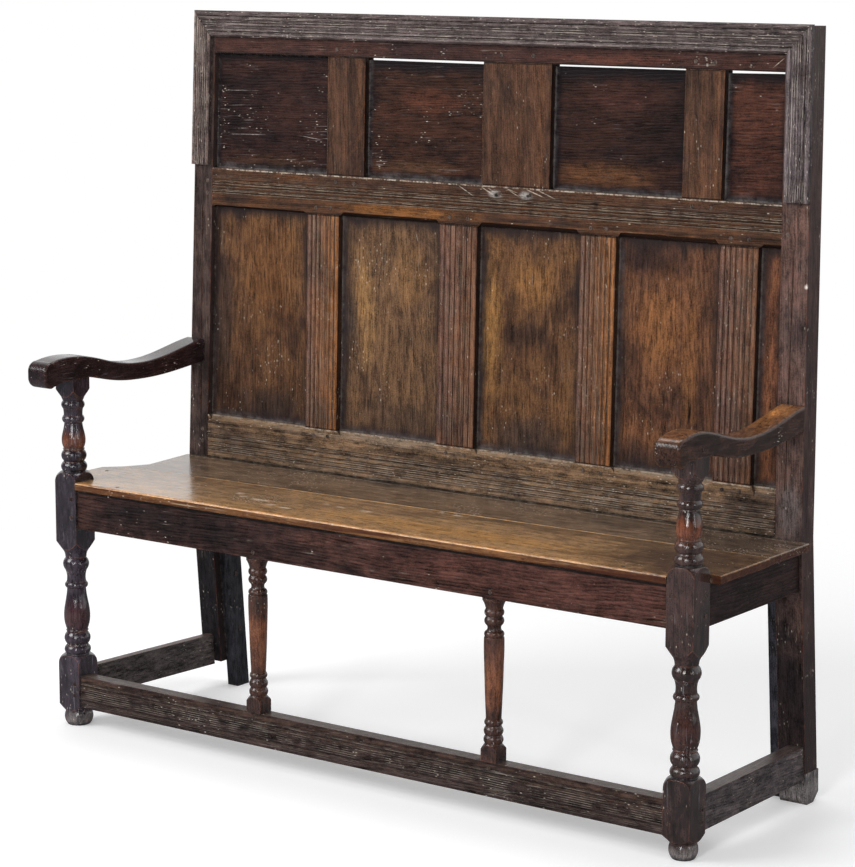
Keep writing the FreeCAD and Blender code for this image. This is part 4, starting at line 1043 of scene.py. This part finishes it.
@dataclass
class BackFrame(Assembly):
    """The stiles, rails and muntins of the back."""

    # Near black painted on faces turned aside: the shadow in the reveals of the openings.
    reveal_shadow: Tone = (18, 13, 14)
    pale: Tone = (176, 162, 146)
    hole: Tone = (8, 6, 6)
    shoulders: Pair = (0.5672, 0.9778)
    upper_shoulders: Pair = (1.0562, 1.2768)
    rail_ends: tuple[tuple[int, float], ...] = ((0, -0.6290), (0, 0.6530))
    scrapes: tuple[tuple[Pair, Pair], ...] = (((-0.033, 1.0530), (0.012, 1.0296)),
        ((0.017, 1.0535), (0.061, 1.0324)), ((0.030, 1.0530), (0.070, 1.0350)),
        ((0.073, 1.0519), (0.107, 1.0433)), ((0.078, 1.0504), (0.109, 1.0361)),
        ((0.119, 1.0525), (0.163, 1.0383)), ((0.140, 1.0538), (0.190, 1.0359)))

    def dress_rails(self) -> None:
        """Dress the three rails of the back."""
        rail = OakFinish("rail", (76, 52, 40), (112, 74, 42), (26, 19, 18), grain=Grain.ALONG,
            pith=(-1.0, 0.25), tilt=(0.01, 0.01), rings=0.22, streaks=0.62, fibres=0.7, pores=0.65,
            specks=0.5, gloss=0.40, polish=0.12, edges=self.reveal_shadow, drift=0.05, across_strength=0.9)
        scrapes = tuple(scratch(*stroke, 0.0026, self.pale, 0.85) for stroke in self.scrapes)
        holes = patches(0.18, (0.052, 1.0400, 0.020, 0.010, (140, 134, 130), 0.85),
            (0.118, 1.0400, 0.018, 0.010, (150, 144, 140), 0.85),
            (0.056, 1.0386, 0.009, 0.006, self.hole, 1.0), (0.124, 1.0402, 0.006, 0.004, (14, 11, 11), 1.0),
            (0.268, 1.0331, 0.010, 0.006, self.hole, 1.0), (0.690, 1.0000, 0.012, 0.006, self.hole, 0.9),
            deep=0.1)
        self.wood("back_rail_middle", rail, "middle_rail", tone=(64, 43, 34), light=(92, 60, 37),
            across=Across(2, 0.979, 1.055, stripes((36, 28, 26), (86, 56, 36), (66, 46, 36), 5)),
            lines=(Lines(2, 1.0060, 1.0340, 0.0044, 0.9, 1.0), Lines(2, 1.0365, 1.0400, 0.0035, 0.5, 0.7)),
            spots=patches(0.18, (-0.42, 1.045, 0.07, 0.012, (98, 63, 38), 0.6),
            (-0.16, 0.995, 0.20, 0.014, (128, 82, 40), 0.7), (-0.55, 1.00, 0.05, 0.02, (40, 31, 30), 0.7),
            (0.45, 1.03, 0.14, 0.018, (58, 42, 36), 0.6)) + scrapes + holes, ledge=(142, 126, 108),
            ledge_strength=0.8, seams=((2, 0.9795), *self.rail_ends), crusts=((2, 1.0532),), seed=4.1)
        self.wood("back_rail_bottom", rail, "bottom_rail", tone=(92, 74, 61), light=(134, 104, 76),
            dust_colour=(192, 178, 162), streaks=0.75,
            across=Across(2, 0.481, 0.566, stripes((50, 41, 38), (120, 100, 82), (124, 98, 72), 6)),
            lines=(Lines(2, 0.4945, 0.5120, 0.0040, 0.75, 0.9), Lines(2, 0.5170, 0.5305, 0.0036, 0.7, 0.9)),
            dust=0.8, specks=0.74,
            spots=patches(0.17, (-0.55, 0.52, 0.09, 0.04, (58, 48, 45), 0.6),
            (0.60, 0.52, 0.10, 0.05, (62, 52, 48), 0.7), (-0.20, 0.556, 0.30, 0.008, (140, 122, 104), 0.45)),
            ledge=(128, 112, 96), ledge_strength=0.85, seams=((2, 0.4826), *self.rail_ends),
            crusts=((2, 0.5642),), mottle=0.95, seed=8.3)
        self.wood("back_rail_top", rail, "top_rail", tone=(56, 35, 32), light=(76, 46, 36),
            dark=(25, 17, 19), specks=0.52, seams=((2, 1.2788), *self.rail_ends), mottle=0.6, seed=12.9,
            spots=(scratch((0.614, 1.2825), (0.640, 1.3030), 0.0022, self.pale, 0.8),
            *patches(0.19, (0.30, 1.290, 0.22, 0.012, (88, 50, 38), 0.5))))

    def dress_stiles(self) -> None:
        """Dress the two stiles, which darken towards the floor."""
        stile = OakFinish("stile", (56, 47, 45), (90, 68, 60), (24, 20, 21), pith=(0.9, 0.25), rings=0.2,
            streaks=0.7, fibres=0.65, specks=0.55, gloss=0.34, polish=0.14, worn=(158, 86, 56), wear=0.8,
            pores=0.6, edges=(54, 43, 43), side_shade_strength=0.7, mottle=0.8)
        self.wood("stile_left", stile, "left_stile", seed=15.1,
            spots=(Spot((-0.65, 0.2, 0.16), (0.12, 0.4, 0.32), (29, 27, 30), 0.97),))
        self.wood("stile_right", stile, "right_stile", tone=(74, 60, 57), light=(116, 84, 72), seed=17.7,
            spots=(Spot((0.697, 0.178, 0.919), (0.006, 0.008, 0.006), (214, 204, 196), 0.9),
            Spot((0.68, 0.17, 0.53), (0.03, 0.1, 0.07), (104, 96, 94), 0.5),
            Spot((0.68, 0.2, 0.16), (0.12, 0.4, 0.30), (29, 25, 28), 0.88)))

    def dress_muntins(self) -> None:
        """Dress the reeded lower muntins and the plainer upper ones."""
        muntin = OakFinish("muntin", (88, 60, 46), (128, 84, 50), (28, 20, 20), rings=0.10, streaks=0.7,
            fibres=0.75, specks=0.62, pores=0.65, worn=(176, 106, 56), wear=0.75, gloss=0.40, polish=0.12,
            clouds=0.35, edges=self.reveal_shadow, drift=0.035, across_strength=0.95)
        warm = stripes((58, 42, 37), (112, 94, 90), (156, 100, 54), 8)
        grey = stripes((54, 40, 38), (106, 84, 80), (108, 76, 58), 7)
        for number in range(4):
            name = f"lower_muntin_{number + 1}"
            low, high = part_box(name)
            self.wood(name, muntin, name + "_wood",
                across=Across(0, low.x, high.x, grey if number % 2 else warm), pith=(low.x - 0.4, 0.5),
                lines=(Lines(0, low.x + 0.006, high.x - 0.004, 0.0052, 0.45, 0.8),),
                seams=tuple((2, level) for level in self.shoulders), seed=31.0 + 5.7 * number,
                spots=patches(0.17, (low.x + 0.03, 0.60, 0.05, 0.05, (60, 46, 40), 0.5)))
        plain = stripes((50, 36, 31), (66, 47, 37), (94, 62, 42), 3)
        for number in range(3):
            name = f"upper_muntin_{number + 1}"
            low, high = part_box(name)
            self.wood(name, muntin, name + "_wood", tone=(61, 43, 36), light=(90, 60, 41), dark=(31, 23, 23),
                across=Across(0, low.x, high.x, plain), clouds=0.65, pith=(low.x - 0.3, 0.4), specks=0.5,
                seams=tuple((2, level) for level in self.upper_shoulders), seed=61.0 + 4.9 * number)

    def dress_all(self) -> None:
        """Give each member its own finish."""
        self.dress_rails()
        self.dress_stiles()
        self.dress_muntins()


@dataclass
class Mouldings(Assembly):
    """The reeded moulding round the top."""

    top_width: float = 0.050
    shade: Stops = stripes((42, 33, 36), (112, 100, 100), (84, 72, 72), 5)
    warm_shade: Stops = stripes((58, 46, 48), (136, 118, 114), (110, 90, 82), 4)

    def dress_all(self) -> None:
        """Fine lines run along each length, and dust sits in them."""
        wood = OakFinish("moulding", (64, 54, 54), (112, 98, 94), (28, 22, 24), worn=(142, 118, 104),
            rings=0.05, streaks=0.65, fibres=0.85, specks=0.9, dust=0.6, gloss=0.30, polish=0.18, clouds=0.4,
            dust_colour=(180, 170, 160), drift=0.03, across_strength=0.9, relief=0.8, mottle=0.85,
            edges=(34, 26, 28), side_shade_strength=0.7)
        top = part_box("moulding_top")[1].z
        self.wood("moulding_top", wood, "top_moulding", tone=(56, 46, 46), grain=Grain.ALONG, seed=70.3,
            across=Across(2, top - self.top_width, top, self.shade),
            lines=(Lines(2, top - 0.045, top - 0.012, 0.0041, 0.85, 0.9),))
        rows = (("left", (146, 128, 120), self.warm_shade, 75.3),
            ("right", (126, 116, 122), self.shade, 79.3))
        for side, light, shade, seed in rows:
            name = "moulding_" + side
            low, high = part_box(name)
            self.wood(name, wood, name + "_wood",
                across=Across(0, low.x, high.x, shade), light=light, seed=seed,
                lines=(Lines(0, low.x + 0.006, high.x - 0.006, 0.0044, 0.85, 0.9),))


@dataclass
class Seat(Assembly):
    """The two planks, their rails and the bearers."""

    level: float = 0.48
    seam: tuple[Pair, Pair] = ((-0.699, -0.0096), (0.699, 0.0244))
    across: Across = Across(1, -0.1926, 0.012,
        ((0.0, (222, 156, 88)), (0.12, (168, 130, 88)), (1.0, (116, 89, 66))))
    scuffs: tuple[tuple[float, ...], ...] = ((-0.338, -0.080, 0.014, 0.009), (-0.315, -0.098, 0.020, 0.007),
        (-0.270, -0.106, 0.024, 0.009), (-0.225, -0.126, 0.018, 0.007), (-0.190, -0.134, 0.020, 0.008),
        (-0.149, -0.062, 0.012, 0.006), (-0.110, -0.070, 0.015, 0.007), (-0.055, -0.072, 0.020, 0.008),
        (-0.028, 0.026, 0.012, 0.006), (0.030, 0.012, 0.020, 0.005), (0.062, 0.004, 0.010, 0.005),
        (0.104, -0.004, 0.013, 0.006))

    def lying(self, *rows: tuple, deep: float = 0.1) -> tuple[Spot, ...]:
        """Soft patches on the seat.

        Args:
            *rows: For each its x, y and the half sizes along them, then a spot's other values.
            deep: Their half height.

        Returns:
            A spot for each row.
        """
        return tuple(Spot((x, y, self.level), (wide, long, deep), *rest) for x, y, wide, long, *rest in rows)

    def dress_planks(self) -> None:
        """Dress the two planks of the seat."""
        plank = OakFinish("plank", (134, 103, 75), (174, 135, 91), (52, 38, 31), worn=(236, 164, 86),
            grain=Grain.ALONG, pith=(-0.40, 0.3), tilt=(0.004, 0.006), spacing=0.006, unevenness=0.03,
            rings=0.20, streaks=0.42, fibres=0.45, clouds=0.6, mottle=0.6, pores=0.6, wear=1.0, hollow_shade_and_dirt=0.6,
            dust=0.6, specks=0.42, gloss=0.13, polish=0.85, relief=0.30, rounding=0.0026,
            front=(0.0, 0.0, 1.0), edges=(60, 31, 24), side_shade_strength=0.97, edges_polish=0.2,
            wear_heights=(0.4745, 0.4785), dust_colour=(176, 158, 134))
        scuffs = self.lying(*((*row, (208, 188, 170), 0.7) for row in self.scuffs), deep=0.05)
        crowds = self.lying((-0.26, -0.10, 0.10, 0.05), (0.02, 0.0, 0.10, 0.03), deep=0.05)
        worn_front = Spot((-0.36, -0.190, 0.476), (0.38, 0.010, 0.012))
        self.wood("seat_plank_front", plank, "front_plank", across=self.across, seed=90.1,
            clusters=(*crowds, worn_front),
            spots=self.lying((-0.40, -0.10, 0.34, 0.08, (136, 109, 82), 0.6),
            (0.18, -0.12, 0.40, 0.05, (178, 128, 70), 0.7), (0.62, -0.07, 0.21, 0.19, (60, 42, 35), 0.92),
            (0.40, 0.0, 0.20, 0.03, (100, 74, 50), 0.5)) + scuffs)
        start, end = self.seam
        slant = -math.atan2(end[1] - start[1], end[0] - start[0])
        x, y = ((a + b) / 2 for a, b in zip(start, end))
        # Along the seam: a pale worn arris with a painted highlight, and a painted shadow of the step beside
        # it.
        seam_wear_highlight_and_shadow = self.lying((x, y + 0.0030, 0.9, 0.0042, (224, 176, 120), 1.0, 0.0, slant),
            (x, y + 0.0105, 0.9, 0.0040, (50, 36, 28), 0.5, 0.0, slant), deep=0.05)
        self.wood("seat_plank_rear", plank, "rear_plank", tone=(104, 84, 69), light=(138, 112, 88),
            dark=(50, 40, 35), mottle=0.8, worn=(196, 156, 112), wear=0.8, specks=0.74, crusts=((1, 0.158),),
            seed=94.7,
            spots=self.lying((0.60, 0.08, 0.19, 0.15, (60, 48, 42), 0.7),
            (-0.05, 0.06, 0.40, 0.05, (116, 90, 66), 0.5)) + seam_wear_highlight_and_shadow)

    def dress_rails(self) -> None:
        """Dress the rails and bearers under the planks."""
        rail = OakFinish("seat_rail", (45, 31, 29), (84, 54, 46), (14, 11, 12), grain=Grain.ALONG,
            pith=(-0.37, -0.07), tilt=(0.012, 0.02), spacing=0.0060, unevenness=0.046, rings=0.50,
            streaks=0.6, fibres=0.7, mottle=0.8, specks=0.46, gloss=0.32, polish=0.15, clouds=0.8,
            worn=(112, 68, 48), pores=0.6)
        # The two dark lines along the rail's top are a painted shadow under the plank's overhang.
        self.wood("seat_rail_front", rail, "front_seat_rail", seams=((2, 0.4630), (2, 0.4610)), seed=101.0,
            spots=patches(-0.18, (0.40, 0.43, 0.42, 0.06, (78, 48, 41), 0.7),
            (-0.42, 0.43, 0.38, 0.06, (28, 23, 24), 0.8), deep=0.1))
        for side, seed in (("left", 108.0), ("right", 109.0)):
            self.wood("seat_rail_" + side, rail, side + "_seat_rail", tone=(34, 25, 25), light=(50, 34, 32),
                grain=Grain.DEEP, pith=(0.4, 0.5), gloss=0.4, polish=0.12, seed=seed)
        plain = self.shop.make(replace(rail, name="hidden_rail", tone=(78, 60, 46), light=(98, 74, 54),
            gloss=0.62, seed=110.0))
        for name in ("seat_rail_rear", "seat_bearer_left", "seat_bearer_right"):
            self.dress(name, plain)

    def dress_all(self) -> None:
        """Golden, polished planks over dark rails."""
        self.dress_planks()
        self.dress_rails()


@dataclass
class LegsAndArms(Assembly):
    """The turned legs, the arms and the balusters: the darkest and most polished wood.

    A leg's rubbed places are rows of height, half height, screen colour and strength.
    """

    leg_line: Pair = (0.679, -0.1646)
    rubbed: tuple[tuple, ...] = (
        (0.006, 0.03, (138, 130, 128), 0.8), (0.215, 0.04, (78, 40, 32), 0.45),
        (0.557, 0.028, (118, 66, 42), 0.7))

    def dress_all(self) -> None:
        """Nearly black wax with reddish wood where hands and feet rub it, and a painted highlight on the
        right arm's top.
        """
        turned = OakFinish("turned", (28, 22, 24), (66, 46, 43), (7, 6, 8), worn=(150, 92, 68),
            dust_colour=(146, 143, 150), rings=0.12, streaks=0.65, fibres=0.65, mottle=0.75, specks=0.62,
            gloss=0.08, rounding=0.0030, polish=0.78, relief=0.28, wear=0.9, dust=0.6, hollow_shade_and_dirt=1.0)
        x, y = self.leg_line
        rows = (("left", -1.0, (36, 30, 38), (72, 61, 70)), ("right", 1.0, (38, 29, 28), (82, 58, 52)))
        for side, sign, tone, light in rows:
            spots = tuple(Spot((sign * x, y, z), (0.06, 0.06, high), *rest) for z, high, *rest in self.rubbed)
            self.wood("front_leg_" + side, turned, side + "_front_leg", tone=tone, light=light,
                pith=(sign * 0.72, -0.2), spots=spots, seed=127.0 + 7 * sign)
            self.wood("baluster_" + side, turned, side + "_baluster", tone=(36, 26, 25), light=(104, 66, 52),
                polish=0.62, pith=(sign * 0.35, -0.2), gloss=0.16, seed=147.0 + 7 * sign,
                spots=(Spot((0.0, y, 0.245), (1.0, 0.1, 0.075), (126, 78, 52), 0.7),))
        self.wood("arm_left", turned, "left_arm", tone=(35, 27, 30), light=(66, 43, 42), polish=0.52,
            grain=Grain.DEEP, clusters=(Spot((-0.679, 0.08, 0.670), (0.06, 0.05, 0.022)),), seed=150.0)
        # The right arm's bright top patch is wear together with a painted highlight.
        self.wood("arm_right", turned, "right_arm", tone=(34, 25, 22), light=(88, 58, 44), grain=Grain.DEEP,
            streaks=0.9, polish=0.38, specks=0.45, ledge=(128, 84, 54), ledge_strength=0.85, dark=(12, 9, 9),
            seed=155.0, spots=(Spot((0.665, 0.085, 0.722), (0.05, 0.12, 0.030), (232, 158, 86), 1.0),))


@dataclass
class Underframe(Assembly):
    """Stretchers, braces and the mended foot."""

    def dress_all(self) -> None:
        """Dark, dry and scratched wood."""
        low = OakFinish("stretcher", (43, 35, 35), (70, 53, 47), (18, 15, 17), worn=(128, 88, 66),
            dust_colour=(156, 146, 134), pith=(-0.05, 0.3), rings=0.25, streaks=0.75, fibres=0.8,
            specks=0.62, dust=0.6, gloss=0.34, polish=0.15, relief=0.8, wear=0.7, pores=0.7, mottle=1.0,
            ledge=(98, 78, 68))
        self.wood("stretcher_front", low, "front_stretcher", grain=Grain.ALONG, seed=200.0,
            lines=(Lines(2, 0.058, 0.088, 0.0040, 0.75, 0.9), Lines(2, 0.046, 0.052, 0.0036, 0.4, 0.8)),
            across=Across(2, 0.040, 0.102, stripes((33, 27, 28), (50, 42, 41), (74, 54, 44), 4)))
        stretchers = (("left", (72, 66, 65), (92, 82, 80), (112, 80, 66), 210.0),
                      ("right", (67, 60, 62), (104, 94, 92), (96, 76, 66), 215.0))
        for side, tone, light, ledge, seed in stretchers:
            self.wood("stretcher_" + side, low, side + "_stretcher", grain=Grain.DEEP, tone=tone,
                light=light, ledge=ledge, pith=(0.3, 0.4), seed=seed)
        braces = (("left", (35, 34, 38), (52, 51, 57), 220.0), ("right", (58, 57, 64), (82, 80, 87), 225.0))
        for side, tone, light, seed in braces:
            self.wood("rear_brace_" + side, low, side + "_brace", tone=tone, light=light, dark=(25, 24, 28),
                specks=0.36, worn=(90, 80, 76), wear=0.4, seed=seed,
                spots=patches(0.15, (-0.562, 0.077, 0.0035, 0.045, (176, 134, 92), 0.85), deep=0.1))
        self.wood("rear_foot_tip", low, "foot_tip", tone=(106, 101, 102), light=(150, 142, 138), seed=230.0)


@dataclass
class Fastenings(Assembly):
    """Pegs and nails."""

    def dress_all(self) -> None:
        """End grain pegs with dust round their rims, and dark iron."""
        peg = OakFinish("dusty_peg", (64, 53, 48), (90, 78, 71), (26, 20, 19), dust_colour=(170, 158, 146),
            dust=0.5, hollow_shade_and_dirt=0.2, specks=0.5, fibres=0.9, clouds=0.9, gloss=0.5, polish=0.12, rounding=0.0010,
            wear=0.0, ring=0.7, seed=250.0)
        dusty = self.shop.make(peg)
        dark = self.shop.make(replace(peg, name="dark_peg", tone=(46, 36, 35), light=(82, 66, 60),
            dark=(16, 13, 14), ring=0.5))
        for name in ("pegs_back", "pegs_seat"):
            self.dress(name, dusty)
        for name in ("pegs_front_legs", "pegs_stiles", "pegs_arms", "pegs_balusters", "pegs_braces"):
            self.dress(name, dark)
        self.dress("moulding_nails", self.iron())

    def iron(self) -> bpy.types.Material:
        """Dark iron with brown rust.

        Returns:
            The material, with one Principled BSDF.
        """
        material = bpy.data.materials.new("rusty_iron")
        material.use_nodes = True
        t = Tree(material.node_tree)
        rust = t.noise(t.node("TexCoord").outputs["Object"], 300.0, 4.0, 0.6)
        bump = t.node("Bump", {"Strength": 0.4, "Distance": 0.0003, "Height": rust})
        t.fill(material.node_tree.nodes["Principled BSDF"],
            {"Base Color": t.ramp(rust, ((0.35, (38, 34, 34)), (0.65, (92, 58, 40)))), "Metallic": 0.6,
            "Roughness": t.band(rust, 0.3, 0.7, 0.45, 0.85), "Normal": bump.outputs[0]})
        return material


def main() -> None:
    """Build the scene in order."""
    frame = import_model()
    Studio().build()
    shop = OakShop()
    for part in (BackPanels, BackFrame, Mouldings, Seat, LegsAndArms, Underframe, Fastenings):
        part(shop, frame["nodes"]).dress_all()


if __name__ == "__main__":
    logging.basicConfig(level=logging.INFO, format="%(name)s: %(message)s")
    main()
